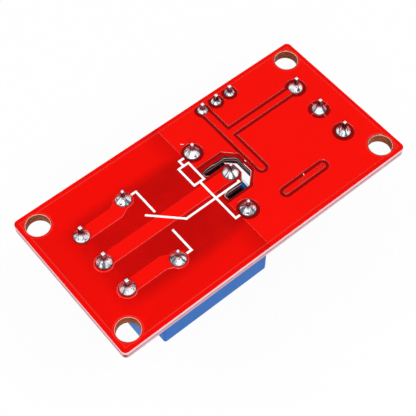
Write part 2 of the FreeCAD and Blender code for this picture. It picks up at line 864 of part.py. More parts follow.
rivet = new_body("relay_moving_contact")
rivet_profile = new_sketch(rivet, "rivet_profile", "XZ_Plane")
RIVET_X = "-contact_pin_setback"
draw_loop(
    rivet_profile,
    [
        (RIVET_X, f"{SPRING_LOW} - contact_height"),
        (f"{RIVET_X} + contact_face_radius", f"{SPRING_LOW} - contact_height"),
        (f"{RIVET_X} + contact_radius", f"{SPRING_LOW} - contact_height / 2"),
        (f"{RIVET_X} + contact_radius", SPRING_LOW),
        (f"{RIVET_X} + contact_radius / 2", SPRING_LOW),
        (f"{RIVET_X} + contact_radius / 2", SPRING_TOP),
        (f"{RIVET_X} + contact_radius", SPRING_TOP),
        (f"{RIVET_X} + contact_radius", f"{SPRING_TOP} + contact_height / 2"),
        (f"{RIVET_X} + contact_face_radius", f"{SPRING_TOP} + contact_height"),
        (RIVET_X, f"{SPRING_TOP} + contact_height"),
    ],
)
turned(rivet, rivet_profile)
place_relay(rivet)


def fixed_contact(name, side, face, away):
    """A blade that rises from its pin and bends over to carry a contact button under or over the rivet."""
    body = new_body(name)
    blade_low = f"({face} + {away} * contact_height + ({away} - 1) / 2 * blade_thickness)"
    profile = new_sketch(body, name + "_profile", "YZ_Plane", lift="-contact_pin_setback")
    wall = f"{side} * relay_pin_offset"
    outer_face = f"{side} * (relay_pin_offset + blade_thickness / 2)"
    inner_face = f"{side} * (relay_pin_offset - blade_thickness / 2)"
    draw_loop(
        profile,
        [
            (outer_face, BASE_TOP),
            (outer_face, f"{blade_low} + blade_thickness"),
            (f"{-side} * contact_radius", f"{blade_low} + blade_thickness"),
            (f"{-side} * contact_radius", blade_low),
            (inner_face, blade_low),
            (inner_face, BASE_TOP),
        ],
    )
    pad(body, profile, "blade_width", symmetric=True)
    button = new_sketch(body, name + "_button", lift=face)
    draw_circle(button, "-contact_pin_setback", "0", "button_radius")
    pad(body, button, "contact_height", reverse=away < 0)
    add_relay_pin(body, "-contact_pin_setback", wall, BASE_TOP)
    place_relay(body)


fixed_contact("relay_closed_contact", 1, f"({SPRING_TOP} + contact_height + contact_touch)", 1)
fixed_contact("relay_open_contact", -1, f"({SPRING_LOW} - contact_height - contact_travel)", -1)


# Screw terminals. The frame has x = 0 at the pins, growing away from the wire entries.
def place_terminal(item, end, way):
    if end == "output":
        place(item, OUTPUT_X, f"output_pin_y + {way} * terminal_pitch", COMPONENT_FACE, OVER_X)
    else:
        place(item, INPUT_X, f"input_pin_y + {way} * terminal_pitch", COMPONENT_FACE, OVER_Y)


def terminal_body(end):
    body = new_body(f"{end}_terminal_body")
    profile = new_sketch(body, f"{end}_profile", "XZ_Plane")
    draw_loop(
        profile,
        [
            ("-pin_to_front", "0"),
            ("pin_to_back", "0"),
            ("pin_to_back", "terminal_height"),
            ("-pin_to_front + front_lean", "terminal_height"),
            ("-pin_to_front", "front_lean_start"),
        ],
    )
    pad(body, profile, "3 * terminal_pitch", symmetric=True)
    chambers = new_sketch(body, f"{end}_chambers")
    feet = new_sketch(body, f"{end}_feet")
    for way in WAYS:
        middle = f"{way} * terminal_pitch"
        draw_box(
            chambers,
            "chamber_front",
            "chamber_back",
            f"{middle} - chamber_width / 2",
            f"{middle} + chamber_width / 2",
        )
        draw_box(
            feet,
            f"-{end}_leg / 2 - foot_clearance",
            "chamber_back",
            f"{middle} - {end}_leg / 2 - foot_clearance",
            f"{middle} + {end}_leg / 2 + foot_clearance",
        )
    pocket(body, chambers, "chamber_height", reverse=True)
    pocket(body, feet, "strip_height + strip_thickness + foot_clearance", reverse=True)
    ledges = new_sketch(body, f"{end}_ledges", lift="chamber_height")
    wells = new_sketch(body, f"{end}_wells", lift="screw_seat")
    entries = new_sketch(body, f"{end}_entries", "YZ_Plane", lift="chamber_front + solder_gap")
    for way in WAYS:
        middle = f"{way} * terminal_pitch"
        draw_circle(ledges, "screw_x", middle, "screw_radius + ledge_clearance")
        draw_circle(wells, "screw_x", middle, "screw_head_radius + well_clearance")
        draw_box(
            entries,
            f"{middle} - entry_width / 2",
            f"{middle} + entry_width / 2",
            "entry_bottom",
            "entry_bottom + entry_height",
        )
    pocket(body, ledges, reverse=True)
    pocket(body, wells, reverse=True)
    pocket(body, entries)
    place_terminal(body, end, 0)


def terminal_contact(end, way):
    """A strip bent from the pin, under the cage, up the back and forward through its window."""
    body = new_body(f"{end}_contact_{way + 2}")
    leg = f"{end}_leg"
    tip = "(-board_thickness - terminal_pin_tip)"
    riser_back = "(chamber_back - solder_gap)"
    riser_front = f"({riser_back} - strip_thickness)"
    bar_front = "(screw_x - cage_length / 2 + bar_inset)"
    profile = new_sketch(body, f"{body.Name}_profile", "XZ_Plane")
    draw_loop(
        profile,
        [
            (f"-{leg} / 2", tip),
            (f"{leg} / 2", tip),
            (f"{leg} / 2", "strip_height"),
            (riser_back, "strip_height"),
            (riser_back, "bar_height + strip_thickness"),
            (bar_front, "bar_height + strip_thickness"),
            (bar_front, "bar_height"),
            (riser_front, "bar_height"),
            (riser_front, "strip_height + strip_thickness"),
            (f"-{leg} / 2", "strip_height + strip_thickness"),
        ],
    )
    bent = pad(body, profile, leg, symmetric=True)
    foot = -number("board_thickness") - number("terminal_pin_tip")
    round_edges(
        body,
        bent,
        lambda edge: max(vertex.Z for vertex in edge.Vertexes) < foot + 1e-6,
        "terminal_pin_rounding",
    )
    place_terminal(body, end, way)


def terminal_cage(end, way):
    """A square metal tube with the screw's thread in its top wall. It rises as the screw turns."""
    body = new_body(f"{end}_clamp_cage_{way + 2}")
    outline = new_sketch(body, f"{body.Name}_outline", "YZ_Plane", lift="screw_x")
    height = "(cage_wall + cage_window + cage_top_wall)"
    draw_box(outline, "-cage_width / 2", "cage_width / 2", "cage_bottom", f"cage_bottom + {height}")
    draw_box(
        outline,
        "-cage_width / 2 + cage_wall",
        "cage_width / 2 - cage_wall",
        "cage_bottom + cage_wall",
        "cage_bottom + cage_wall + cage_window",
    )
    pad(body, outline, "cage_length", symmetric=True)
    thread_low = "cage_bottom + cage_wall + cage_window - running_clearance"
    thread = new_sketch(body, f"{body.Name}_thread", lift=thread_low)
    draw_circle(thread, "screw_x", "0", "screw_radius + running_clearance")
    pocket(body, thread, reverse=True)
    place_terminal(body, end, way)


def terminal_screw(end, way):
    """A slotted screw. Its head sits in the well, on the ledge over the chamber."""
    body = new_body(f"{end}_clamp_screw_{way + 2}")
    head_top = "(screw_seat + screw_head_height)"
    rim = "screw_x + screw_head_radius"
    profile = new_sketch(body, f"{body.Name}_profile", "XZ_Plane")
    draw_loop(
        profile,
        [
            ("screw_x", "screw_end"),
            ("screw_x + screw_radius", "screw_end"),
            ("screw_x + screw_radius", "screw_seat"),
            (rim, "screw_seat"),
            (rim, f"{head_top} - screw_head_bevel"),
            (f"{rim} - screw_head_bevel", head_top),
            ("screw_x", head_top),
        ],
    )
    turned(body, profile)
    groove_floor = f"{head_top} - screw_slot_depth"
    groove = new_sketch(body, f"{body.Name}_groove", lift=groove_floor)
    draw_box(
        groove,
        "screw_x - 2 * screw_head_radius",
        "screw_x + 2 * screw_head_radius",
        "-screw_slot_width / 2",
        "screw_slot_width / 2",
    )
    pocket(body, groove, reverse=True)
    place_terminal(body, end, way)


for end in ("output", "input"):
    terminal_body(end)
    for way in WAYS:
        terminal_contact(end, way)
        terminal_cage(end, way)
        terminal_screw(end, way)


# Trigger header: a black strip with three square pins, and a cap that joins two of them.
def place_header(item, offset="0"):
    place(item, f"header_x + {offset}", HEADER_Y, COMPONENT_FACE, OVER_X)


housing = new_body("header_housing")
strip = new_sketch(housing, "header_strip")
corners = []
for way in WAYS:
    middle = f"{way} * header_pitch"
    corners.append((f"{middle} - header_pitch / 2", "-header_depth / 2 + header_notch"))
    corners.append((f"{middle} - header_pitch / 2 + header_notch", "-header_depth / 2"))
    corners.append((f"{middle} + header_pitch / 2 - header_notch", "-header_depth / 2"))
corners.append(("1.5 * header_pitch", "-header_depth / 2 + header_notch"))
for way in reversed(WAYS):
    middle = f"{way} * header_pitch"
    corners.append((f"{middle} + header_pitch / 2", "header_depth / 2 - header_notch"))
    corners.append((f"{middle} + header_pitch / 2 - header_notch", "header_depth / 2"))
    corners.append((f"{middle} - header_pitch / 2 + header_notch", "header_depth / 2"))
corners.append(("-1.5 * header_pitch", "header_depth / 2 - header_notch"))
draw_loop(strip, corners)
pad(housing, strip, "header_height")
holes = new_sketch(housing, "header_holes")
HALF_PIN = "header_pin / 2"
for way in WAYS:
    middle = f"{way} * header_pitch"
    reach = f"({HALF_PIN} + solder_gap)"
    draw_box(holes, f"{middle} - {reach}", f"{middle} + {reach}", f"-{reach}", reach)
pocket(housing, holes, reverse=True)
place_header(housing)

header_low = -number("board_thickness") - number("header_pin_tip")
header_top = number("header_height") + number("header_pin_rise")
pin_wide = number("header_pin")
pins = []
for way in WAYS:
    left = number("header_x") + way * number("header_pitch") - pin_wide / 2
    corner = FreeCAD.Vector(left, header_y - pin_wide / 2, component_face - header_top)
    pin = Part.makeBox(pin_wide, pin_wide, header_top - header_low, corner)
    ends = [
        edge
        for edge in pin.Edges
        if abs(edge.Vertexes[0].Z - edge.Vertexes[1].Z) < 1e-6
    ]
    pins.append(pin.makeChamfer(number("header_pin_bevel"), ends))
add_shape("header_pins", Part.makeCompound(pins))

CAP_LOW = "(header_height + cap_lift)"
CAP_MIDDLE = "header_pitch / 2"
cap = new_body("jumper_cap")
cap_outline = new_sketch(cap, "cap_outline", lift=CAP_LOW)
draw_box(cap_outline, "-cap_length / 2", "cap_length / 2", "-cap_depth / 2", "cap_depth / 2")
cap_block = pad(cap, cap_outline, "cap_height")
cap_block = round_edges(cap, cap_block, is_upright, "cap_edge_radius")
cap_hollow = new_sketch(cap, "cap_hollow", lift=CAP_LOW)
draw_box(
    cap_hollow,
    "-cap_length / 2 + cap_wall",
    "cap_length / 2 - cap_wall",
    "-cap_depth / 2 + cap_wall",
    "cap_depth / 2 - cap_wall",
)
pocket(cap, cap_hollow, "cap_height - cap_wall", reverse=True)
place_header(cap, CAP_MIDDLE)

clip = new_body("jumper_clip")
clip_outline = new_sketch(clip, "clip_outline", lift=f"{CAP_LOW} + cap_wall")
draw_box(
    clip_outline,
    "-cap_length / 2 + cap_wall + solder_gap",
    "cap_length / 2 - cap_wall - solder_gap",
    "-cap_depth / 2 + cap_wall + solder_gap",
    "cap_depth / 2 - cap_wall - solder_gap",
)
clip_reach = f"({HALF_PIN} + clip_clearance)"
for side in SIDES:
    middle = f"{side} * header_pitch / 2"
    draw_box(
        clip_outline,
        f"{middle} - {clip_reach}",
        f"{middle} + {clip_reach}",
        f"-{clip_reach}",
        clip_reach,
    )
pad(clip, clip_outline, "header_pin_rise - cap_lift - cap_wall")
place_header(clip, CAP_MIDDLE)


# Solder joints: a cone of solder round each pin, steeper at its foot, drawn as a profile and turned.
def solder_joint(pin, base_radius, pin_reach, height, square):
    """Square is the side of a square pin, and zero for a round one."""
    run = base_radius - pin_reach
    low = solder_face + copper
    foot = FreeCAD.Vector(base_radius, 0, low)
    rim = FreeCAD.Vector(pin_reach + number("joint_rim"), 0, low + height)
    waist_out = pin_reach + run * number("joint_waist_radius_ratio")
    waist = FreeCAD.Vector(waist_out, 0, low + height * number("joint_waist_height_ratio"))
    axis_low = FreeCAD.Vector(0, 0, low)
    axis_high = FreeCAD.Vector(0, 0, low + height)
    wire = Part.Wire([
        Part.makeLine(axis_low, foot),
        Part.makeLine(foot, waist),
        Part.makeLine(waist, rim),
        Part.makeLine(rim, axis_high),
        Part.makeLine(axis_high, axis_low),
    ])
    cone = Part.Face(wire).revolve(FreeCAD.Vector(), FreeCAD.Vector(0, 0, 1), 360)
    if square:
        half = square / 2 + number("solder_gap")
        corner = FreeCAD.Vector(-half, -half, low - 1)
        core_cut = Part.makeBox(2 * half, 2 * half, height + 2, corner)
    else:
        core_cut = Part.makeCylinder(
            pin_reach + number("solder_gap"), height + 2, FreeCAD.Vector(0, 0, low - 1)
        )
    joint = cone.cut(core_cut)
    joint.translate(FreeCAD.Vector(pin[0], pin[1], 0))
    return joint


def solder_group(name, pins, pin_reach, square=0.0):
    radius = number(f"{name}_joint_radius")
    height = number(f"{name}_joint_height")
    joints = [solder_joint(pin, radius, pin_reach, height, square) for pin in pins]
    add_shape(f"{name}_solder", Part.makeCompound(joints))


# A square pin's corners reach this far from its middle, as a share of its side.
CORNER_REACH = math.sqrt(0.5)
output_leg = number("output_leg")
input_leg = number("input_leg")
solder_group("output", output_pins, output_leg * CORNER_REACH, output_leg)
solder_group("input", input_pins, input_leg * CORNER_REACH, input_leg)
solder_group("relay", [common_pin] + coil_pins + contact_pins, number("relay_pin_radius"))
solder_group("header", header_pins, pin_wide * CORNER_REACH, pin_wide)


# Small parts on the component side. Each stands on lacquer-free copper pads.
PAD_FACE = "(relay_height - copper_thickness)"
pad_face = component_face - copper
lead = number("lead_thickness")
pads = []


def moulded_body(label, across, along, size_name):
    """A plastic body with its upper edges bevelled, as it leaves the mould."""
    body = new_body(label)
    sketch = new_sketch(body, label + "_outline", lift="smd_lift")
    half_length = f"{size_name}_length / 2"
    half_width = f"{size_name}_width / 2"
    draw_box(sketch, f"-{half_length}", half_length, f"-{half_width}", half_width)
    block = pad(body, sketch, f"{size_name}_height")
    top = number("smd_lift") + number(f"{size_name}_height")
    bevel_edges(
        body,
        block,
        lambda edge: max(vertex.Z for vertex in edge.Vertexes) > top - 1e-6,
        "mould_bevel",
    )
    place(body, across, along, PAD_FACE, OVER_X)


def gull_lead(across, along, heading, width, reach, rise):
    """A strip that leaves a body at a height, steps down and lies flat on its pad."""
    knee = reach * number("lead_knee_ratio")
    side = [
        (0, -rise),
        (knee, -rise),
        (knee + lead, -lead),
        (reach, -lead),
        (reach, 0),
        (knee - lead / 4, 0),
        (knee - lead / 4 - lead, lead - rise),
        (0, lead - rise),
    ]
    profile = Part.makePolygon([FreeCAD.Vector(x, 0, z) for x, z in side + side[:1]])
    strip = Part.Face(profile).extrude(FreeCAD.Vector(0, width, 0))
    strip.translate(FreeCAD.Vector(0, -width / 2, 0))
    strip.rotate(FreeCAD.Vector(), FreeCAD.Vector(0, 0, 1), heading)
    strip.translate(FreeCAD.Vector(across, along, pad_face))
    return strip


def add_pad(across, along, length, width):
    corner = FreeCAD.Vector(across - length / 2, along - width / 2, pad_face)
    pads.append(Part.makeBox(length, width, copper, corner))


# The small parts stand in two columns between the relay's end and the input terminal's back.
RELAY_END = f"({COMMON_X} + relay_end_margin)"
INPUT_BACK = f"({INPUT_X} - pin_to_back)"
NEAR_COLUMN = f"({RELAY_END} + near_column_share * ({INPUT_BACK} - {RELAY_END}))"
MIDDLE = f"(({RELAY_END} + {INPUT_BACK}) / 2)"
relay_end = common_x + number("relay_end_margin")
part_room = input_x - number("pin_to_back") - relay_end
near_x = relay_end + number("near_column_share") * part_room
far_x = relay_end + number("far_column_share") * part_room
middle_x = relay_end + part_room / 2


def leaded_part(label, size_name, across, middle, left_leads, right_leads):
    """A moulded body between two rows of bent leads, which are given by their offsets along it."""
    moulded_body(label, across, f"relay_pin_y + {size_name}_from_common", size_name)
    length = number(f"{size_name}_length")
    rise = number(f"{size_name}_height") / 2
    width = number(f"{size_name}_lead_width")
    reach = number(f"{size_name}_lead_reach")
    body_y = centre_y + number(f"{size_name}_from_common")
    leads = []
    for side, heading, offsets in ((-1, 180, left_leads), (1, 0, right_leads)):
        root = middle + side * length / 2
        for offset in offsets:
            leads.append(gull_lead(root, body_y + offset, heading, width, reach, rise))
            foot = root + side * reach * number("pad_middle_ratio")
            pad_length = reach * number("pad_length_ratio")
            add_pad(foot, body_y + offset, pad_length, width + 2 * number("pad_overhang"))
    add_shape(label + "_leads", Part.makeCompound(leads))


half_pitch = number("coupler_lead_pitch") / 2
coupler_rows = (-half_pitch, half_pitch)
leaded_part("optocoupler", "coupler", MIDDLE, middle_x, coupler_rows, coupler_rows)
half_pitch = number("transistor_lead_pitch") / 2
base_leads = (-half_pitch, half_pitch)
leaded_part("transistor", "transistor", NEAR_COLUMN, near_x, base_leads, (0.0,))
leaded_part("diode", "diode", NEAR_COLUMN, near_x, (0.0,), (0.0,))

chip_length = number("chip_length")
chip_width = number("chip_width")
chip_height = number("chip_height")
chip_end = number("chip_end")
lens_length = number("led_lens_length")
lens_width = number("led_lens_width")
lens_height = number("led_lens_height")
overhang = number("pad_overhang")
chip_ends = []


def chip_part(x, y, lens=False):
    """A flat ceramic block between two metal end caps, with a clear dome on an indicator light."""
    inner = chip_length - 2 * chip_end
    low = pad_face - chip_height
    corner = FreeCAD.Vector(x - inner / 2, y - chip_width / 2, low)
    block = Part.makeBox(inner, chip_width, chip_height, corner)
    for side in SIDES:
        start = x + side * (chip_length - chip_end) / 2 - chip_end / 2
        corner = FreeCAD.Vector(start, y - chip_width / 2, low)
        chip_ends.append(Part.makeBox(chip_end, chip_width, chip_height, corner))
        add_pad(x + side * chip_length / 2, y, 2 * chip_end + 2 * overhang, chip_width + overhang)
    if lens:
        corner = FreeCAD.Vector(x - lens_length / 2, y - lens_width / 2, low - lens_height)
        block = block.fuse(Part.makeBox(lens_length, lens_width, lens_height, corner))
    return block


RESISTOR_ROWS = (0, 1, 2, 3)
first_y = centre_y + number("resistor_from_common")
resistors = [chip_part(far_x, first_y - row * number("resistor_pitch")) for row in RESISTOR_ROWS]
led_y = -board_width / 2 + number("led_edge_inset")
add_shape("chip_resistors", Part.makeCompound(resistors))
add_shape("power_led", chip_part(far_x, led_y, lens=True))
add_shape("relay_led", chip_part(near_x, led_y, lens=True))
add_shape("chip_end_caps", Part.makeCompound(chip_ends))
add_shape("component_pads", Part.makeCompound(pads))

document.recompute()
for item in document.Objects:
    if "Invalid" in item.State or "Error" in item.State:
        raise ValueError(f"{item.Name} is not built: {item.State}")
os.makedirs("parts", exist_ok=True)
for item in pieces:
    if item.Shape.isNull() or not item.Shape.isValid():
        raise ValueError(f"{item.Label} has no valid solid")
    item.Shape.exportStep(os.path.join("parts", item.Label + ".step"))
print(len(pieces), "pieces written")
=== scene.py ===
import json
import math
import random

import bmesh
import bpy
from mathutils import Matrix, Vector

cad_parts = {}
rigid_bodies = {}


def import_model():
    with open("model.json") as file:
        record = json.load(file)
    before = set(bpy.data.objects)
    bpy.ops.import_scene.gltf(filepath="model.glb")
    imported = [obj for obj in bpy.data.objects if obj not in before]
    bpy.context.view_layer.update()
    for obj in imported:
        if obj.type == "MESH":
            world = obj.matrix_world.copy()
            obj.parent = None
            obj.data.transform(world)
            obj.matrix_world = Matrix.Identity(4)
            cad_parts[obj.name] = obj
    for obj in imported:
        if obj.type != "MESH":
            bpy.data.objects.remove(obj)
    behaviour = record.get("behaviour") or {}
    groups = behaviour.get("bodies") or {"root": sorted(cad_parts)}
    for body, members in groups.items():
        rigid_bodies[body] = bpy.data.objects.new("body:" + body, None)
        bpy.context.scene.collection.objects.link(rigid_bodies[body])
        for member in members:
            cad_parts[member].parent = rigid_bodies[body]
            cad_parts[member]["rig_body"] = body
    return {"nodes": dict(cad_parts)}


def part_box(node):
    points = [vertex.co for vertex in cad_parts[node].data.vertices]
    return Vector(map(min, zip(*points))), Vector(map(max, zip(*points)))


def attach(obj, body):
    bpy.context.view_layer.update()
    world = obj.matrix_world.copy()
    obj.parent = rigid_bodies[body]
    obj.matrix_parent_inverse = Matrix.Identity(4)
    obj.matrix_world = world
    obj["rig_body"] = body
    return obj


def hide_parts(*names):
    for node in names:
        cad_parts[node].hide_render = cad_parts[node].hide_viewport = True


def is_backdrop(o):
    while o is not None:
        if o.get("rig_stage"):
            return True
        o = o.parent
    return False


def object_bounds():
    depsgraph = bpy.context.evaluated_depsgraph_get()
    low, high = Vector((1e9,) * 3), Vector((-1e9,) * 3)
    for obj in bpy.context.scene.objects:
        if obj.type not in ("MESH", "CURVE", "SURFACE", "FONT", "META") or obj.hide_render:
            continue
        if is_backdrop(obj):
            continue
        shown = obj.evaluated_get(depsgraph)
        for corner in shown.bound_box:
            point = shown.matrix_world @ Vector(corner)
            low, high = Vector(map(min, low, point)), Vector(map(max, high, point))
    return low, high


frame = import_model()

cad_low, cad_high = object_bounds()

# Studio. The module lies solder side up on a white table, under three large soft lamps and a pale
# room. The camera looks down on it from beyond its output end, as the photograph does.
MM = 0.001
SENSOR = 36.0
LENS = 91.96
CAMERA_PLACE = Vector((-52.00, -60.62, 141.71)) * MM
CAMERA_AIM = Vector((-3.04, -2.50, 18.2)) * MM
CAMERA_ROLL = math.radians(0.457)
FLOOR_HALF = 0.6
FLOOR_DROP = 0.00003
FLOOR_SHOWN_WHITE = 0.93
ROOM_LEVEL = 0.48
WHITE = (1.0, 1.0, 1.0, 1.0)
TABLE_WHITE = (0.9, 0.9, 0.9, 1.0)
TABLE_ROUGHNESS = 0.9
# Each lamp's name, its place and width in metres, and its power in watts.
LAMPS = (
    ("key_softbox", (0.20, -0.22, 0.48), 0.26, 0.7),
    ("fill_softbox", (-0.26, 0.24, 0.42), 0.28, 0.5),
    ("front_softbox", (-0.20, -0.25, 0.38), 0.26, 1.1),
)
scene = bpy.context.scene


def add_node(tree, kind, inputs=None, **settings):
    """A shader node with its settings made and its sockets filled by values or by other nodes."""
    made = tree.nodes.new("ShaderNode" + kind)
    for name, value in settings.items():
        setattr(made, name, value)
    for name, value in (inputs or {}).items():
        if isinstance(value, bpy.types.NodeSocket):
            tree.links.new(value, made.inputs[name])
        else:
            made.inputs[name].default_value = value
    return made


def calculate(tree, operation, first, second=0.0, clamp=False):
    """The result of one sum."""
    return add_node(
        tree, "Math", {0: first, 1: second}, operation=operation, use_clamp=clamp
    ).outputs[0]


def ramp(tree, value, low, high, start=0.0, end=1.0):
    """The start where a value is low, the end where it is high, and a straight run between."""
    return add_node(
        tree,
        "MapRange",
        {"Value": value, "From Min": low, "From Max": high, "To Min": start, "To Max": end},
    ).outputs[0]


def seen_directly_or_reflected(tree):
    """One for camera, mirror and glass rays, which show the white table and room."""
    path = add_node(tree, "LightPath").outputs
    shiny = calculate(tree, "MAXIMUM", path["Is Glossy Ray"], path["Is Transmission Ray"])
    return calculate(tree, "MAXIMUM", path["Is Camera Ray"], shiny)


room = bpy.data.worlds.new("pale_room")
scene.world = room
room.use_nodes = True
tree = room.node_tree
level = ramp(tree, seen_directly_or_reflected(tree), 0.0, 1.0, ROOM_LEVEL, 1.0)
tree.links.new(level, tree.nodes["Background"].inputs["Strength"])
tree.nodes["Background"].inputs["Color"].default_value = WHITE

table_mesh = bpy.data.meshes.new("table")
corners = [
    (across * FLOOR_HALF, along * FLOOR_HALF, -FLOOR_DROP)
    for across, along in ((-1, -1), (1, -1), (1, 1), (-1, 1))
]
table_mesh.from_pydata(corners, [], [(0, 1, 2, 3)])
table = bpy.data.objects.new("table", table_mesh)
scene.collection.objects.link(table)
table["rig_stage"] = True
table_paint = bpy.data.materials.new("white_table")
table_paint.use_nodes = True
tree = table_paint.node_tree
shader = tree.nodes["Principled BSDF"]
shader.inputs["Base Color"].default_value = TABLE_WHITE
shader.inputs["Roughness"].default_value = TABLE_ROUGHNESS
shader.inputs["Specular IOR Level"].default_value = 0.0
glow = add_node(tree, "Emission", {"Color": WHITE})
share = calculate(tree, "MULTIPLY", seen_directly_or_reflected(tree), FLOOR_SHOWN_WHITE)
blend = add_node(
    tree, "MixShader", {"Fac": share, 1: shader.outputs["BSDF"], 2: glow.outputs["Emission"]}
)
tree.links.new(blend.outputs[0], tree.nodes["Material Output"].inputs["Surface"])
table_mesh.materials.append(table_paint)

for name, place, width, power in LAMPS:
    lamp = bpy.data.lights.new(name, "AREA")
    lamp.size = width
    lamp.energy = power
    holder = bpy.data.objects.new(name, lamp)
    holder.location = place
    holder.rotation_euler = (CAMERA_AIM - holder.location).to_track_quat("-Z", "Y").to_euler()
    scene.collection.objects.link(holder)

lens = bpy.data.cameras.new("camera")
lens.lens = LENS
lens.sensor_width = SENSOR
camera = bpy.data.objects.new("camera", lens)
aimed = (CAMERA_AIM - CAMERA_PLACE).to_track_quat("-Z", "Y").to_matrix().to_4x4()
camera.matrix_world = (
    Matrix.Translation(CAMERA_PLACE) @ aimed @ Matrix.Rotation(CAMERA_ROLL, 4, "Z")
)
scene.collection.objects.link(camera)
scene.camera = camera
scene.view_settings.view_transform = "Standard"

# Circuit board. A glass laminate routed from a panel, drilled, slotted and lacquered red on both
# sides. Painted shade darkens the bare lacquer over the dark relay that lies under it.
BOARD_ROUNDING = 0.07 * MM
ROUNDING_STEPS = 2
SHARP_ANGLE = math.radians(28)
FLAT_ANGLE = math.radians(1)
SAME_CORNER = 2e-6
FACING_UP = 0.95
HOLE_INSET = 2.5 * MM
HOLE_REACH = 2.0 * MM
EDGE_REACH = 1.2 * MM
ROUNDED_TILT = 0.3
board_low, board_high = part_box("circuit_board")
relay_low, relay_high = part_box("relay_case")
pour_low, pour_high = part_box("ground_pour")


def in_mm(vector):
    return Vector(vector) / MM


def sharp_edges(shape):
    return [
        edge
        for edge in shape.edges
        if len(edge.link_faces) == 2 and edge.calc_face_angle(0.0) > SHARP_ANGLE
    ]


def smooth(mesh):
    mesh.polygons.foreach_set("use_smooth", [True] * len(mesh.polygons))
    mesh.set_sharp_from_angle(angle=SHARP_ANGLE)


def make_piece(name, shape, materials, sort=None):
    """The shape as an object, with one of these materials on each of its faces."""
    mesh = bpy.data.meshes.new(name)
    shape.to_mesh(mesh)
    shape.free()
    for material in materials:
        mesh.materials.append(material)
    if sort is not None:
        for polygon in mesh.polygons:
            polygon.material_index = sort(polygon)
    piece = bpy.data.objects.new(name, mesh)
    scene.collection.objects.link(piece)
    return piece


def rounded_piece(node, name, rounding, materials, sort=None):
    """The node's solid with its sharp edges rounded off, in the node's place."""
    source = frame["nodes"][node]
    shape = bmesh.new()
    shape.from_mesh(source.data)
    bmesh.ops.remove_doubles(shape, verts=shape.verts, dist=SAME_CORNER)
    bmesh.ops.dissolve_limit(
        shape, angle_limit=FLAT_ANGLE, verts=shape.verts, edges=shape.edges
    )
    edges = sharp_edges(shape)
    if rounding and edges:
        bmesh.ops.bevel(
            shape,
            geom=edges,
            offset=rounding,
            offset_type="OFFSET",
            segments=ROUNDING_STEPS,
            profile=0.5,
            affect="EDGES",
            clamp_overlap=False,
        )
    piece = make_piece(name, shape, materials, sort)
    smooth(piece.data)
    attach(piece, source["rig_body"])
    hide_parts(node)
    return piece


def new_material(name, **plain):
    """A material whose shader holds these plain values, by socket name with _ for a space."""
    material = bpy.data.materials.new(name)
    material.use_nodes = True
    shader = material.node_tree.nodes["Principled BSDF"]
    for socket, value in plain.items():
        shader.inputs[socket.replace("_", " ")].default_value = value
    return material, material.node_tree, shader


def new_group(name, inputs, outputs):
    """A node group with named sockets, each given as name: (kind, value)."""
    group = bpy.data.node_groups.new(name, "ShaderNodeTree")
    for socket, (kind, value) in inputs.items():
        made = group.interface.new_socket(socket, in_out="INPUT", socket_type="NodeSocket" + kind)
        made.default_value = value
    for socket, kind in outputs.items():
        group.interface.new_socket(socket, in_out="OUTPUT", socket_type="NodeSocket" + kind)
    start = group.nodes.new("NodeGroupInput")
    end = group.nodes.new("NodeGroupOutput")
    return group, start.outputs, end.inputs


def use_group(tree, group, **inputs):
    placed = tree.nodes.new("ShaderNodeGroup")
    placed.node_tree = group
    for name, value in inputs.items():
        if isinstance(value, bpy.types.NodeSocket):
            tree.links.new(value, placed.inputs[name])
        else:
            placed.inputs[name].default_value = value
    return placed.outputs


def combine(tree, operation, first, second=(0, 0, 0)):
    """The result of one sum on vectors."""
    return add_node(tree, "VectorMath", {0: first, 1: second}, operation=operation).outputs[0]


def enlarge(tree, vector, factor):
    return add_node(
        tree, "VectorMath", {0: vector, "Scale": factor}, operation="SCALE"
    ).outputs[0]


def distance(tree, first, second):
    return add_node(
        tree, "VectorMath", {0: first, 1: second}, operation="DISTANCE"
    ).outputs["Value"]


def axis_of(tree, vector, axis):
    return add_node(tree, "SeparateXYZ", {0: vector}).outputs[axis]


def grain(tree, place, scale, detail, distortion=0.0):
    """Noise between none and one, with about this many patches to each unit of the place."""
    return add_node(
        tree,
        "TexNoise",
        {"Vector": place, "Scale": scale, "Detail": detail, "Distortion": distortion},
    ).outputs["Fac"]


def vary(tree, mask, first, second):
    """A colour between two, by a mask."""
    mixed = add_node(tree, "Mix", {"Factor": mask}, data_type="RGBA")
    for slot, value in ((6, first), (7, second)):
        if isinstance(value, bpy.types.NodeSocket):
            tree.links.new(value, mixed.inputs[slot])
        else:
            mixed.inputs[slot].default_value = (*value, 1.0)
    return mixed.outputs[2]


def own_place(tree):
    """A point's place on its own piece, in millimetres."""
    return enlarge(tree, add_node(tree, "TexCoord").outputs["Object"], 1 / MM)


def own_facing(tree):
    """The way that a point faces on its own piece."""
    return add_node(tree, "TexCoord").outputs["Normal"]


def raise_surface(tree, shader, height, depth):
    bump = add_node(tree, "Bump", {"Height": height, "Distance": depth})
    tree.links.new(bump.outputs["Normal"], shader.inputs["Normal"])


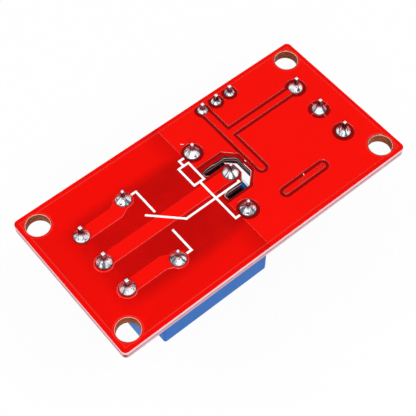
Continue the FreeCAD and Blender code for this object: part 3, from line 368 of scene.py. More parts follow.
# Soft box: one inside a box seen from above, fading to none across its border.
soft_box, given, result = new_group(
    "soft_box",
    {
        "Place": ("Vector", (0, 0, 0)),
        "Centre": ("Vector", (0, 0, 0)),
        "Half": ("Vector", (1, 1, 0)),
        "Fade": ("Float", 1.0),
    },
    {"Mask": "Float", "Distance": "Float"},
)
offset = combine(soft_box, "SUBTRACT", given["Place"], given["Centre"])
offset = combine(soft_box, "ABSOLUTE", offset)
offset = combine(soft_box, "SUBTRACT", offset, given["Half"])
outside = calculate(
    soft_box, "MAXIMUM", axis_of(soft_box, offset, "X"), axis_of(soft_box, offset, "Y")
)
faded = add_node(
    soft_box,
    "MapRange",
    {
        "Value": calculate(soft_box, "DIVIDE", outside, given["Fade"]),
        "From Min": -1.0,
        "From Max": 1.0,
        "To Min": 1.0,
        "To Max": 0.0,
    },
    interpolation_type="SMOOTHSTEP",
)
soft_box.links.new(faded.outputs[0], result["Mask"])
soft_box.links.new(outside, result["Distance"])

# Ridge: a low line where a distance has a given value.
ridge, given, result = new_group(
    "ridge",
    {"Distance": ("Float", 0.0), "At": ("Float", 0.0), "Width": ("Float", 0.1)},
    {"Height": "Float"},
)
away = calculate(ridge, "ABSOLUTE", calculate(ridge, "SUBTRACT", given["Distance"], given["At"]))
rise = calculate(ridge, "SUBTRACT", 1.0, calculate(ridge, "DIVIDE", away, given["Width"]), True)
ridge.links.new(rise, result["Height"])

# Mottle: a cloudy mask and a finer height, as lacquer and moulded plastic have.
FINER = 7.0
mottle, given, result = new_group(
    "mottle",
    {"Place": ("Vector", (0, 0, 0)), "Patch": ("Float", 1.0)},
    {"Mask": "Float", "Height": "Float"},
)
pace = calculate(mottle, "DIVIDE", 1.0, given["Patch"])
coarse = add_node(
    mottle, "TexNoise", {"Vector": given["Place"], "Scale": pace, "Detail": 3.0, "Roughness": 0.55}
)
fine_pace = calculate(mottle, "MULTIPLY", pace, FINER)
fine = grain(mottle, given["Place"], fine_pace, detail=2.0)
mottle.links.new(coarse.outputs["Fac"], result["Mask"])
mottle.links.new(fine, result["Height"])


def in_box(tree, place, centre, half, fade):
    """One inside a box seen from above, with this centre and half size in millimetres."""
    return use_group(
        tree, soft_box, Place=place, Centre=(*centre, 0), Half=(*half, 0), Fade=fade
    )["Mask"]


def mottled_material(name, dark, light, patch, depth=0.0, **plain):
    """A material that drifts between two colours in patches of this many millimetres."""
    material, tree, shader = new_material(name, **plain)
    cloud = use_group(tree, mottle, Place=own_place(tree), Patch=patch)
    tree.links.new(vary(tree, cloud["Mask"], dark, light), shader.inputs["Base Color"])
    if depth:
        raise_surface(tree, shader, cloud["Height"], depth)
    return material


# Relief that both the bare lacquer and the lacquer over copper have, with a painted highlight of
# lighter red along its lines.
RELIEF_HIGHLIGHT_RED = (0.98, 0.09, 0.07)
RELIEF_HIGHLIGHT_SHARE = 0.28
EDGE_LINE_INSET = 0.7
EDGE_LINE_WIDTH = 0.14
HOLE_RING_RADIUS = 1.98
HOLE_RING_WIDTH = 0.13


def lacquer_relief(tree, place):
    """The low lines in the lacquer: one along the board's edges and one round each hole."""
    half = in_mm(board_high - board_low) / 2
    line = (half.x - EDGE_LINE_INSET, half.y - EDGE_LINE_INSET, 0)
    edge = use_group(tree, soft_box, Place=place, Half=line)["Distance"]
    edge_line = use_group(tree, ridge, Distance=edge, Width=EDGE_LINE_WIDTH)["Height"]
    hole = (half.x - HOLE_INSET / MM, half.y - HOLE_INSET / MM, 0)
    mirrored = combine(tree, "ABSOLUTE", place)
    flat = combine(tree, "MULTIPLY", mirrored, (1, 1, 0))
    reach = distance(tree, flat, hole)
    ring = use_group(tree, ridge, Distance=reach, At=HOLE_RING_RADIUS, Width=HOLE_RING_WIDTH)
    return calculate(tree, "MAXIMUM", edge_line, ring["Height"])


# Bare lacquer of the solder side, with painted shade: darker over the relay and the output
# terminal, beside the copper and in its moats.
BARE_RED = (0.79, 0.0028, 0.0010)
SHADED_RED = (0.48, 0.0018, 0.0010)
MOAT_SHADE_RED = (0.270, 0.0010, 0.0007)
SLOT_BAND_SHADE_RED = (0.42, 0.0014, 0.0008)
# A half size far beyond the board's, for a box that has no end that way.
ENDLESS = 99
TERMINAL_SHADE_INSET = 1.4
RELAY_SHADE_REACH = 3.0
RELAY_SHADE_SHIFT = 0.35
RELAY_SHADE_INSET = 0.15
SHADE_LIFT = 0.4
POUR_SHADE_REACH = 3.2
POUR_SHADE_SHARE = 0.6
SLOT_BAND_SHIFT = 0.3
SLOT_BAND_HALF = (2.9, 3.2)
pour_edge = in_mm(pour_low).x
pour_middle = in_mm(pour_low + pour_high).xy / 2
pour_half = in_mm(pour_high - pour_low).xy / 2
solder_side, tree, shader = new_material(
    "bare_lacquer", Roughness=0.3, Specular_IOR_Level=0.035
)
place = own_place(tree)
# Painted shade where the relay and the output terminal lie under the board, clouded a little.
relay_middle = in_mm(relay_low + relay_high).y / 2 - RELAY_SHADE_SHIFT
relay_half = in_mm(relay_high - relay_low).y / 2 - RELAY_SHADE_INSET
shade_low = in_mm(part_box("output_terminal_body")[0]).x + TERMINAL_SHADE_INSET
shade_high = in_mm(relay_high).x + RELAY_SHADE_REACH
along = in_box(
    tree,
    place,
    ((shade_low + shade_high) / 2, 0),
    ((shade_high - shade_low) / 2, ENDLESS),
    fade=3.0,
)
across = in_box(tree, place, (0, relay_middle), (ENDLESS, relay_half), fade=1.3)
under = calculate(tree, "MULTIPLY", along, across)
cloud = use_group(tree, mottle, Place=place, Patch=6.0)
clouded = calculate(tree, "ADD", cloud["Mask"], SHADE_LIFT)
shade = calculate(tree, "MULTIPLY", under, clouded, True)
# Painted shade that grows towards the ground pour's edge on the bare side.
across_board = axis_of(tree, place, "X")
painted_pour_shade = ramp(
    tree, across_board, pour_edge - POUR_SHADE_REACH, pour_edge, 0.0, POUR_SHADE_SHARE
)
before_pour = calculate(tree, "LESS_THAN", across_board, pour_edge)
painted_pour_shade = calculate(tree, "MULTIPLY", painted_pour_shade, before_pour)
shade = calculate(tree, "MAXIMUM", shade, painted_pour_shade)
bare = vary(tree, shade, BARE_RED, SHADED_RED)
# Painted shade in the moats of the ground pour, and a lighter painted shade in the band round the
# slot.
in_moat = in_box(tree, place, pour_middle, pour_half, fade=0.03)
common_low, common_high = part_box("relay_common_pin")
slot_middle = in_mm(common_low + common_high).xy / 2 - Vector((SLOT_BAND_SHIFT, 0))
by_slot = in_box(tree, place, slot_middle, SLOT_BAND_HALF, fade=0.25)
bare = vary(tree, in_moat, bare, vary(tree, by_slot, MOAT_SHADE_RED, SLOT_BAND_SHADE_RED))
relief = lacquer_relief(tree, place)
# Painted highlight: the relief's lines lightened towards a brighter red.
lit = calculate(tree, "MULTIPLY", relief, RELIEF_HIGHLIGHT_SHARE)
tree.links.new(vary(tree, lit, bare, RELIEF_HIGHLIGHT_RED), shader.inputs["Base Color"])
raise_surface(tree, shader, relief, depth=0.05 * MM)

component_side = mottled_material(
    "component_lacquer",
    dark=(0.74, 0.006, 0.004),
    light=(0.92, 0.008, 0.005),
    patch=3.0,
    depth=0.01 * MM,
    Roughness=0.3,
    Specular_IOR_Level=0.2,
)

# Routed edge: pale glass fibre in layers, with painted shade that makes it darker and pinker low
# down, and a brown stain on one corner.
EDGE_STRETCH = (0.5, 0.5, 6.0)
# How fast the layers follow each other up the edge, in radians to the millimetre.
EDGE_LAYER_PACE = 6.2
EDGE_WANDER = 2.2
GLASS_PALE = (0.88, 0.72, 0.76)
GLASS_PINK = (0.76, 0.42, 0.46)
GLASS_LOW_SHADE = (0.50, 0.25, 0.29)
GLASS_LAYER = (0.44, 0.10, 0.12)
STAIN_BROWN = (0.26, 0.055, 0.035)
STAIN_REACH = 0.47
STAIN_DROP = 0.2
LOW_SHADE_START = 0.7
LOW_SHADE_FULL = 0.1
LOW_SHADE_SHARE = 0.75
low_level = in_mm(board_low).z
high_level = in_mm(board_high).z
edge_glass, tree, shader = new_material("routed_edge", Roughness=0.6, Specular_IOR_Level=0.1)
place = own_place(tree)
depth = axis_of(tree, place, "Z")
fibres = grain(tree, combine(tree, "MULTIPLY", place, EDGE_STRETCH), scale=1.6, detail=4.0)
wander = calculate(tree, "MULTIPLY", fibres, EDGE_WANDER)
phase = calculate(tree, "ADD", calculate(tree, "MULTIPLY", depth, EDGE_LAYER_PACE), wander)
bands = ramp(tree, calculate(tree, "SINE", phase), low=0.35, high=0.95)
pale = vary(tree, fibres, GLASS_PALE, GLASS_PINK)
# Painted shade: the lower part of the edge is darker and pinker.
low_shade = ramp(
    tree, depth, low_level + LOW_SHADE_START, low_level + LOW_SHADE_FULL, 0.0, LOW_SHADE_SHARE
)
pale = vary(tree, low_shade, pale, GLASS_LOW_SHADE)
layered = vary(tree, bands, pale, GLASS_LAYER)
corner = (*in_mm(board_low).xy, (low_level + high_level) / 2 - STAIN_DROP)
spot = calculate(tree, "LESS_THAN", distance(tree, place, corner), STAIN_REACH)
tree.links.new(vary(tree, spot, layered, STAIN_BROWN), shader.inputs["Base Color"])

# Drilled wall: brown laminate in fine layers, with a pale rim where it faces upward.
HOLE_STRETCH = (0.7, 0.7, 6.0)
LAMINATE_TAN = (0.46, 0.115, 0.04)
LAMINATE_BROWN = (0.14, 0.026, 0.012)
RIM_PALE = (0.82, 0.44, 0.30)
drilled, tree, shader = new_material("drilled_wall", Roughness=0.5, Specular_IOR_Level=0.05)
stretched = combine(tree, "MULTIPLY", own_place(tree), HOLE_STRETCH)
layers = grain(tree, stretched, scale=1.6, detail=5.0)
wall = vary(tree, ramp(tree, layers, low=0.38, high=0.62), LAMINATE_TAN, LAMINATE_BROWN)
rim = ramp(tree, axis_of(tree, own_facing(tree), "Z"), low=0.15, high=0.45)
tree.links.new(vary(tree, rim, wall, RIM_PALE), shader.inputs["Base Color"])
raise_surface(tree, shader, layers, depth=0.04 * MM)

# Milled wall of the slot: dark red, with painted highlights as pale wandering streaks in its
# layers, only on its upper, lit part.
SLOT_STRETCH = (0.3, 0.3, 2.6)
STREAK_PITCH = 0.55
STREAK_WANDER = 12.0
STREAK_START = 0.3
STREAK_FULL = 0.4
MILLED_DARK = (0.090, 0.010, 0.010)
MILLED_HIGHLIGHT_PALE = (0.98, 0.80, 0.80)
milled, tree, shader = new_material("milled_slot_wall", Roughness=0.3, Specular_IOR_Level=0.06)
place = own_place(tree)
layers = grain(tree, combine(tree, "MULTIPLY", place, SLOT_STRETCH), scale=1.8, detail=3.0)
depth = axis_of(tree, place, "Z")
drift = grain(tree, place, scale=0.35, detail=2.0)
wander = calculate(tree, "MULTIPLY", drift, STREAK_WANDER)
turn = calculate(tree, "MULTIPLY", depth, 2 * math.pi / STREAK_PITCH)
wave = calculate(tree, "SINE", calculate(tree, "ADD", turn, wander))
# Painted highlights: pale streaks, kept to the upper, lit part of the wall.
highlight_streak = ramp(tree, wave, low=0.4, high=0.9)
lit_part = ramp(tree, depth, low_level + STREAK_START, high_level - STREAK_FULL)
highlight_streak = calculate(tree, "MULTIPLY", highlight_streak, lit_part)
tree.links.new(vary(tree, highlight_streak, MILLED_DARK, MILLED_HIGHLIGHT_PALE), shader.inputs["Base Color"])
raise_surface(tree, shader, layers, depth=0.10 * MM)

SOLDER_SIDE, COMPONENT_SIDE, EDGE, DRILLED, MILLED = range(5)


def board_finish(polygon):
    """Which finish a face of the board has, by the way it faces and what it is beside."""
    across, along, facing = abs(polygon.center.x), abs(polygon.center.y), polygon.normal.z
    if facing > FACING_UP:
        return SOLDER_SIDE
    if facing < -FACING_UP:
        return COMPONENT_SIDE
    hole_x = board_high.x - HOLE_INSET
    hole_y = board_high.y - HOLE_INSET
    if math.hypot(across - hole_x, along - hole_y) < HOLE_REACH:
        return DRILLED
    if across > board_high.x - EDGE_REACH or along > board_high.y - EDGE_REACH:
        return SOLDER_SIDE if facing > ROUNDED_TILT else EDGE
    return MILLED


rounded_piece(
    "circuit_board",
    "lacquered_board",
    BOARD_ROUNDING,
    [solder_side, component_side, edge_glass, drilled, milled],
    board_finish,
)

# Lacquered copper. Etched foil under the same red lacquer, which is brighter over the metal and
# runs down to the laminate in a narrow light shoulder.
COPPER_RED = (0.86, 0.0045, 0.0018)
COPPER_RED_DEEP = (0.82, 0.0040, 0.0015)
MOTTLE_SHARE = 0.04
# How far out from the metal's edge each ring of the shoulder lies, in millimetres, and how far
# down, as a share of the copper's height.
SHOULDER_PROFILE = ((-0.06, 0.00), (-0.045, 0.25), (-0.015, 0.75), (0.01, 1.00))
SHOULDER_RED = (0.80, 0.008, 0.004)
MOAT_SHOULDER_SHADE_RED = (0.43, 0.004, 0.002)
POUR_BORDER = 0.3
SEAM_WIDTH = 1.0
DULL, GLOSSY = 0.08, 0.75
MITRE_LIMIT = 0.6
LEVEL_FACING = 0.999

over_copper, tree, shader = new_material(
    "lacquer_over_copper", Roughness=0.3, Specular_IOR_Level=0.035
)
place = own_place(tree)
cloud = use_group(tree, mottle, Place=place, Patch=8.0)
relief = lacquer_relief(tree, place)
# Painted highlight: the relief's lines lightened towards a brighter red.
lit = calculate(tree, "MULTIPLY", relief, RELIEF_HIGHLIGHT_SHARE)
copper_red = vary(tree, cloud["Mask"], COPPER_RED, COPPER_RED_DEEP)
tree.links.new(vary(tree, lit, copper_red, RELIEF_HIGHLIGHT_RED), shader.inputs["Base Color"])
uneven = calculate(tree, "MULTIPLY", cloud["Height"], MOTTLE_SHARE)
raise_surface(tree, shader, calculate(tree, "ADD", relief, uneven), depth=0.04 * MM)

inner_half = pour_half - Vector((POUR_BORDER, POUR_BORDER))


def shoulder_lacquer(name, gloss):
    """Lacquer that runs down beside the copper, with painted shade that darkens it in the moats of
    the ground pour.
    """
    material, tree, shader = new_material(name, Roughness=0.14, Specular_IOR_Level=gloss)
    in_pour = in_box(tree, own_place(tree), pour_middle, inner_half, fade=0.05)
    shoulder_red = vary(tree, in_pour, SHOULDER_RED, MOAT_SHOULDER_SHADE_RED)
    tree.links.new(shoulder_red, shader.inputs["Base Color"])
    return material


shoulder = shoulder_lacquer("lacquer_shoulder", GLOSSY)
outer_shoulder = shoulder_lacquer("lacquer_outer_shoulder", DULL)
OVER_COPPER, SHOULDER, OUTER_SHOULDER = range(3)


def copper_finish(polygon):
    """Which lacquer a face has: over the copper, its shoulder's, or dull round the pour."""
    if abs(polygon.normal.z) > LEVEL_FACING:
        return OVER_COPPER
    spot = in_mm(polygon.center).xy
    away = spot - pour_middle
    in_border = abs(away.x) > inner_half.x or abs(away.y) > inner_half.y
    return OUTER_SHOULDER if in_border and spot.x > pour_edge + SEAM_WIDTH else SHOULDER


def shouldered_copper(node):
    """The metal's flat top, with the lacquer's shoulder swept down and out all round its edges."""
    source = frame["nodes"][node]
    metal = bmesh.new()
    metal.from_mesh(source.data)
    bmesh.ops.remove_doubles(metal, verts=metal.verts, dist=SAME_CORNER)
    tops = [face for face in metal.faces if face.normal.z > FACING_UP]
    top_level = max(vertex.co.z for vertex in metal.verts)
    height = top_level - board_high.z
    shape = bmesh.new()
    outward = {}
    rims = []
    for face in tops:
        for loop in face.loops:
            if sum(other.normal.z > FACING_UP for other in loop.edge.link_faces) == 1:
                start, end = loop.vert, loop.link_loop_next.vert
                run = (end.co - start.co).normalized()
                side = Vector((run.y, -run.x, 0))
                rims.append((start, end))
                for vertex in (start, end):
                    outward.setdefault(vertex, []).append(side)
    used = {vertex for face in tops for vertex in face.verts}
    rings = []
    for out, drop in SHOULDER_PROFILE:
        ring = {}
        for vertex in used:
            sides = outward.get(vertex, [Vector()])
            middle = sum(sides, Vector()).normalized()
            spread = max(middle.dot(sides[0]), MITRE_LIMIT)
            spot = vertex.co + middle * (out * MM / spread)
            spot.z = top_level - drop * height
            ring[vertex] = shape.verts.new(spot)
        rings.append(ring)
    for above, below in zip(rings, rings[1:]):
        for start, end in rims:
            shape.faces.new((above[end], above[start], below[start], below[end]))
    for face in tops:
        shape.faces.new([rings[0][vertex] for vertex in face.verts])
        shape.faces.new([rings[-1][vertex] for vertex in reversed(face.verts)])
    metal.free()
    finishes = [over_copper, shoulder, outer_shoulder]
    piece = make_piece(node + "_lacquer", shape, finishes, copper_finish)
    smooth(piece.data)
    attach(piece, source["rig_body"])
    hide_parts(node)


for node in ("ground_pour", "signal_tracks", "contact_tracks"):
    shouldered_copper(node)

# Printed symbol. White ink is screened over the lacquer, a little uneven, and shows the relay's
# coil and its contacts.
white_ink = mottled_material(
    "white_ink",
    dark=(0.93, 0.93, 0.92),
    light=(0.98, 0.98, 0.98),
    patch=0.5,
    depth=0.01 * MM,
    Roughness=0.55,
    Specular_IOR_Level=0.2,
)


def finish_node(node, material):
    mesh = frame["nodes"][node].data
    mesh.materials.clear()
    mesh.materials.append(material)


finish_node("relay_symbol", white_ink)

# Rings in the lacquer. Five tented vias dimple the copper island, and a low rim of lacquer stands
# round two of the output pads, a little beside their solder.
VIA_SPOTS = ((6.91, -7.39), (9.75, -7.29), (10.33, -7.30), (12.77, -7.31), (13.77, -7.31))
# The radius and the height of each step.
VIA_PROFILE = ((0.19, 0.0), (0.16, 0.010), (0.13, 0.010), (0.11, 0.003), (0.04, 0.002))
PAD_RIM_PROFILE = ((1.38, 0.0), (1.35, 0.016), (1.31, 0.02), (1.27, 0.014), (1.24, 0.0))
PAD_RIM_SHIFT = Vector((0.15, 0.1))
TERMINAL_PITCH = 5.08
RING_SIDES = 36
HOLE_SHADE_REACH = 0.12
# Painted shade: the middle of each tented via is dark, for the hole beneath the lacquer.
via_hole_shade = mottled_material(
    "via_hole_shade",
    dark=(0.05, 0.002, 0.002),
    light=(0.10, 0.006, 0.004),
    patch=0.3,
    Roughness=0.4,
    Specular_IOR_Level=0.1,
)


def turned_rings(name, spots, profile, level, capped):
    """Turned shapes in lacquer on a level, either capped or hollow in the middle as a ring."""
    shape = bmesh.new()
    for across, along in spots:
        rings = []
        for radius, rise in profile:
            ring = []
            for side in range(RING_SIDES):
                angle = 2 * math.pi * side / RING_SIDES
                ring.append(
                    shape.verts.new((
                        (across + radius * math.cos(angle)) * MM,
                        (along + radius * math.sin(angle)) * MM,
                        level + rise * MM,
                    ))
                )
            rings.append(ring)
        bands = list(zip(rings, rings[1:]))
        if not capped:
            bands.append((rings[-1], rings[0]))
        for lower, upper in bands:
            for side in range(RING_SIDES):
                following = (side + 1) % RING_SIDES
                shape.faces.new((lower[side], lower[following], upper[following], upper[side]))
        if capped:
            shape.faces.new(list(reversed(rings[0])))
            shape.faces.new(rings[-1])

    # Faces in the middle of a via take the painted shade.
    def hole_shade_or_lacquer(polygon):
        reach = min((in_mm(polygon.center).xy - Vector(spot)).length for spot in spots)
        return 1 if reach < HOLE_SHADE_REACH else 0

    piece = make_piece(name, shape, [shoulder, via_hole_shade], hole_shade_or_lacquer)
    smooth(piece.data)
    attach(piece, "board")


turned_rings("tented_vias", VIA_SPOTS, VIA_PROFILE, pour_high.z, True)
output_low, output_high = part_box("output_solder")
middle_pad = in_mm(output_low + output_high).xy / 2 - PAD_RIM_SHIFT
pad_spots = [middle_pad, middle_pad - Vector((0, TERMINAL_PITCH))]
turned_rings("output_pad_rims", pad_spots, PAD_RIM_PROFILE, board_high.z, False)

# Flecks. Three short white dashes in the ink's material, beside the slot and on the island, each a
# little raised.
# Each fleck's place and half length, and its turn in degrees.
FLECKS = ((5.94, 0.09, 0.20, -85), (10.72, -6.76, 0.18, 60), (0.85, 7.94, 0.28, -40))
FLECK_OUTLINE = ((-1, 0), (-0.8, -1), (0.8, -1), (1, 0), (0.8, 1), (-0.8, 1))
FLECK_HALF_WIDTH = 0.045
FLECK_RISE = 0.015
FLECK_TAPER = 0.8
shape = bmesh.new()
for across, along, reach, turn in FLECKS:
    spin = Matrix.Rotation(math.radians(turn), 2)
    low_ring, high_ring = [], []
    for step_x, step_y in FLECK_OUTLINE:
        for ring, rise, scale in ((low_ring, 0.0, 1.0), (high_ring, FLECK_RISE, FLECK_TAPER)):
            spot = spin @ Vector((step_x * reach * scale, step_y * FLECK_HALF_WIDTH * scale))
            ring.append(
                shape.verts.new((
                    (across + spot.x) * MM, (along + spot.y) * MM, pour_high.z + rise * MM
                ))
            )
    for side in range(len(FLECK_OUTLINE)):
        following = (side + 1) % len(FLECK_OUTLINE)
        shape.faces.new(
            (low_ring[side], low_ring[following], high_ring[following], high_ring[side])
        )
    shape.faces.new(list(reversed(low_ring)))
    shape.faces.new(high_ring)
flecks = make_piece("white_flecks", shape, [white_ink])
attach(flecks, "board")

# Printed outlines on the component side. A thin white frame shows where each body goes, as such
# boards have.
PRINT_LINE = 0.15 * MM
PRINT_RISE = 0.015 * MM
# The gap between each body and its frame, in millimetres.
FRAMED = {
    "relay_case": 0.10,
    "output_terminal_body": 0.10,
    "input_terminal_body": 0.30,
    "header_housing": 0.30,
    "optocoupler": 0.30,
    "transistor": 0.25,
    "diode": 0.25,
}
shape = bmesh.new()
for node, margin in FRAMED.items():
    low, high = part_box(node)
    rings = []
    for inset, rise in ((0, 0), (0, PRINT_RISE), (PRINT_LINE, PRINT_RISE), (PRINT_LINE, 0)):
        grow = margin * MM + PRINT_LINE - inset
        corners = (
            (low.x - grow, low.y - grow),
            (high.x + grow, low.y - grow),
            (high.x + grow, high.y + grow),
            (low.x - grow, high.y + grow),
        )
        rings.append([shape.verts.new((x, y, board_low.z - rise)) for x, y in corners])
    for ring, following_ring in zip(rings, rings[1:] + rings[:1]):
        for side in range(4):
            following = (side + 1) % 4
            shape.faces.new((
                ring[following], ring[side], following_ring[side], following_ring[following]
            ))
outlines = make_piece("component_outlines", shape, [white_ink])
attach(outlines, "board")

# Sealed relay. A blue moulded case with a black base pressed into it, and painted shade in black
# on the case's upward-facing rim on one side; the coil, yoke, armature and contacts are inside.
CASE_BLUE = (0.012, 0.140, 0.480)
CASE_BLUE_LIGHT = (0.018, 0.162, 0.545)
RIM_SHADE_BLACK = (0.006, 0.008, 0.012)
RIM_FACING = 0.9
BASE_ROUNDING = 0.05 * MM
IRON_ROUNDING = 0.06 * MM
BOBBIN_ROUNDING = 0.06 * MM
WIRE_PITCH = 0.11
WIRE_DARK = (0.25, 0.07, 0.02)
WIRE_LIGHT = (0.75, 0.30, 0.12)

relay_blue, tree, shader = new_material("relay_blue", Roughness=0.4, Specular_IOR_Level=0.06)
place = own_place(tree)
cloud = use_group(tree, mottle, Place=place, Patch=2.5)
case_blue = vary(tree, cloud["Mask"], CASE_BLUE, CASE_BLUE_LIGHT)
# Painted shade: black on the case's upward-facing rim on one side, under the board.
on_rim = calculate(tree, "GREATER_THAN", axis_of(tree, own_facing(tree), "Z"), RIM_FACING)
one_side = calculate(tree, "GREATER_THAN", axis_of(tree, place, "Y"), 0.0)
painted_rim_shade = calculate(tree, "MULTIPLY", on_rim, one_side)
tree.links.new(vary(tree, painted_rim_shade, case_blue, RIM_SHADE_BLACK), shader.inputs["Base Color"])
raise_surface(tree, shader, cloud["Height"], depth=0.02 * MM)
rounded_piece("relay_case", "relay_case_moulding", 0.0, [relay_blue])

black_plastic = mottled_material(
    "black_plastic",
    dark=(0.003, 0.003, 0.004),
    light=(0.012, 0.012, 0.013),
    patch=0.8,
    depth=0.02 * MM,
    Roughness=0.5,
    Specular_IOR_Level=0.04,
)
rounded_piece("relay_base", "relay_base_moulding", BASE_ROUNDING, [black_plastic])

magnet_iron = mottled_material(
    "magnet_iron",
    dark=(0.50, 0.50, 0.49),
    light=(0.68, 0.67, 0.64),
    patch=1.0,
    Metallic=1.0,
    Roughness=0.35,
)
for node in ("relay_yoke", "relay_core", "relay_armature"):
    rounded_piece(node, node + "_iron", IRON_ROUNDING, [magnet_iron])

bobbin_cream = mottled_material(
    "bobbin_cream",
    dark=(0.72, 0.68, 0.55),
    light=(0.82, 0.78, 0.66),
    patch=1.5,
    Roughness=0.5,
)
rounded_piece("relay_bobbin", "relay_bobbin_moulding", BOBBIN_ROUNDING, [bobbin_cream])

enamelled, tree, shader = new_material("enamelled_wire", Metallic=1.0, Roughness=0.3)
height = axis_of(tree, own_place(tree), "Z")
turns = calculate(tree, "SINE", calculate(tree, "MULTIPLY", height, 2 * math.pi / WIRE_PITCH))
turns = ramp(tree, turns, low=-1.0, high=1.0)
tree.links.new(vary(tree, turns, WIRE_DARK, WIRE_LIGHT), shader.inputs["Base Color"])
raise_surface(tree, shader, turns, depth=0.04 * MM)
finish_node("relay_winding", enamelled)

bronze = mottled_material(
    "contact_bronze",
    dark=(0.72, 0.48, 0.20),
    light=(0.84, 0.62, 0.34),
    patch=1.2,
    Metallic=1.0,
    Roughness=0.3,
)
for node in ("relay_contact_spring", "relay_moving_contact"):
    finish_node(node, bronze)

# Pins. Tinned brass and copper, sheared off bright at their tips, and darkened between the solder
# and the tip by a painted reflection in black and pink streaks.
PIN_NODES = [
    "relay_common_pin",
    "relay_coil_pin_left",
    "relay_coil_pin_right",
    "relay_closed_contact",
    "relay_open_contact",
    "header_pins",
    *(f"{end}_contact_{way}" for end in ("output", "input") for way in (1, 2, 3)),
]
PIN_ROUNDING = 0.03 * MM
TIP_REACH = 0.2 * MM
TIP_SCALE = 0.76
TIN_GREY = (0.52, 0.64, 0.70)
TIN_BRIGHT = (0.78, 0.88, 0.94)
SHANK_REFLECTION_BLACK = (0.012, 0.006, 0.008)
SHANK_REFLECTION_PINK = (0.38, 0.17, 0.20)
TIP_BRIGHT = 0.20
TIP_REFLECTION_FULL = 0.34
REFLECTION_METALLIC = 0.3
# The radius of the pins in each set of joints, and how far the solder spreads beyond its solid.
SOLDER_SETS = {
    "output_solder": (0.38, 1.0),
    "input_solder": (0.33, 1.0),
    "relay_solder": (0.27, 1.0),
    "header_solder": (0.33, 1.13),
}


def separate_boxes(node):
    """The box of each separate solid in a node."""
    shape = bmesh.new()
    shape.from_mesh(frame["nodes"][node].data)
    bmesh.ops.remove_doubles(shape, verts=shape.verts, dist=SAME_CORNER)
    left = set(shape.verts)
    boxes = []
    while left:
        queue = [left.pop()]
        reached = list(queue)
        while queue:
            vertex = queue.pop()
            for edge in vertex.link_edges:
                other = edge.other_vert(vertex)
                if other in left:
                    left.remove(other)
                    queue.append(other)
                    reached.append(other)
        spots = [vertex.co.copy() for vertex in reached]
        low = Vector(map(min, zip(*spots)))
        high = Vector(map(max, zip(*spots)))
        boxes.append((low, high))
    shape.free()
    return sorted(boxes, key=lambda box: (round(box[0].x, 5), box[0].y))


def tinned_metal(name, tip_level):
    """Tin that is clean at the tip and inside, with a painted reflection in black and pink streaks
    between the solder and the tip.
    """
    material, tree, shader = new_material(name, Roughness=0.16, Specular_IOR_Level=0.1)
    place = own_place(tree)
    cloud = use_group(tree, mottle, Place=place, Patch=0.5)
    clean = vary(tree, cloud["Mask"], TIN_GREY, TIN_BRIGHT)
    # Painted reflection: black and pink streaks on the shank, by the way it faces, with less
    # metal.
    side = combine(tree, "ADD", own_facing(tree), enlarge(tree, place, 0.35))
    tone = ramp(tree, grain(tree, side, scale=1.6, detail=2.0), low=0.46, high=0.60)
    painted_reflection = vary(tree, tone, SHANK_REFLECTION_BLACK, SHANK_REFLECTION_PINK)
    height = axis_of(tree, place, "Z")
    above_board = calculate(tree, "GREATER_THAN", height, in_mm(board_high).z)
    below_tip = ramp(tree, height, tip_level - TIP_BRIGHT, tip_level - TIP_REFLECTION_FULL)
    reflected_part = calculate(tree, "MULTIPLY", above_board, below_tip)
    tree.links.new(vary(tree, reflected_part, clean, painted_reflection), shader.inputs["Base Color"])
    metallic = ramp(tree, reflected_part, 0.0, 1.0, 1.0, REFLECTION_METALLIC)
    tree.links.new(metallic, shader.inputs["Metallic"])
    raise_surface(tree, shader, cloud["Height"], depth=0.02 * MM)
    return material


joint_boxes = [box for node in SOLDER_SETS for box in separate_boxes(node)]
axes = [(low + high) / 2 for low, high in joint_boxes]
tinned = tinned_metal("tinned_pin", in_mm(cad_high).z)
header_tin = tinned_metal("tinned_header_pin", in_mm(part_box("header_pins")[1]).z)
for node in PIN_NODES:
    metal = header_tin if node == "header_pins" else tinned
    pin = rounded_piece(node, node + "_tinned", PIN_ROUNDING, [metal])
    top = max(vertex.co.z for vertex in pin.data.vertices)
    for vertex in pin.data.vertices:
        if vertex.co.z > top - TIP_REACH:
            axis = min(axes, key=lambda spot: (spot - vertex.co).xy.length)
            vertex.co.xy = axis.xy + (vertex.co.xy - axis.xy) * TIP_SCALE

# Screw terminals. Blue moulded bodies with sloped fronts, held on the board by the pins of their
# contact strips. Zinc-plated screws draw up steel cages of the same finish.
BODY_ROUNDING = 0.12 * MM
SCREW_ROUNDING = 0.04 * MM
CAGE_ROUNDING = 0.06 * MM
terminal_blue = mottled_material(
    "terminal_blue",
    dark=(0.02, 0.16, 0.50),
    light=(0.03, 0.20, 0.58),
    patch=2.0,
    depth=0.02 * MM,
    Roughness=0.4,
    Specular_IOR_Level=0.15,
)
zinc = mottled_material(
    "zinc_plated",
    dark=(0.55, 0.56, 0.57),
    light=(0.78, 0.79, 0.80),
    patch=0.7,
    depth=0.02 * MM,
    Metallic=1.0,
    Roughness=0.3,
)
for end in ("output", "input"):
    rounded_piece(
        f"{end}_terminal_body", f"{end}_terminal_moulding", BODY_ROUNDING, [terminal_blue]
    )
    for way in (1, 2, 3):
        screw = f"{end}_clamp_screw_{way}"
        cage = f"{end}_clamp_cage_{way}"
        rounded_piece(screw, screw + "_plated", SCREW_ROUNDING, [zinc])
        rounded_piece(cage, cage + "_plated", CAGE_ROUNDING, [zinc])

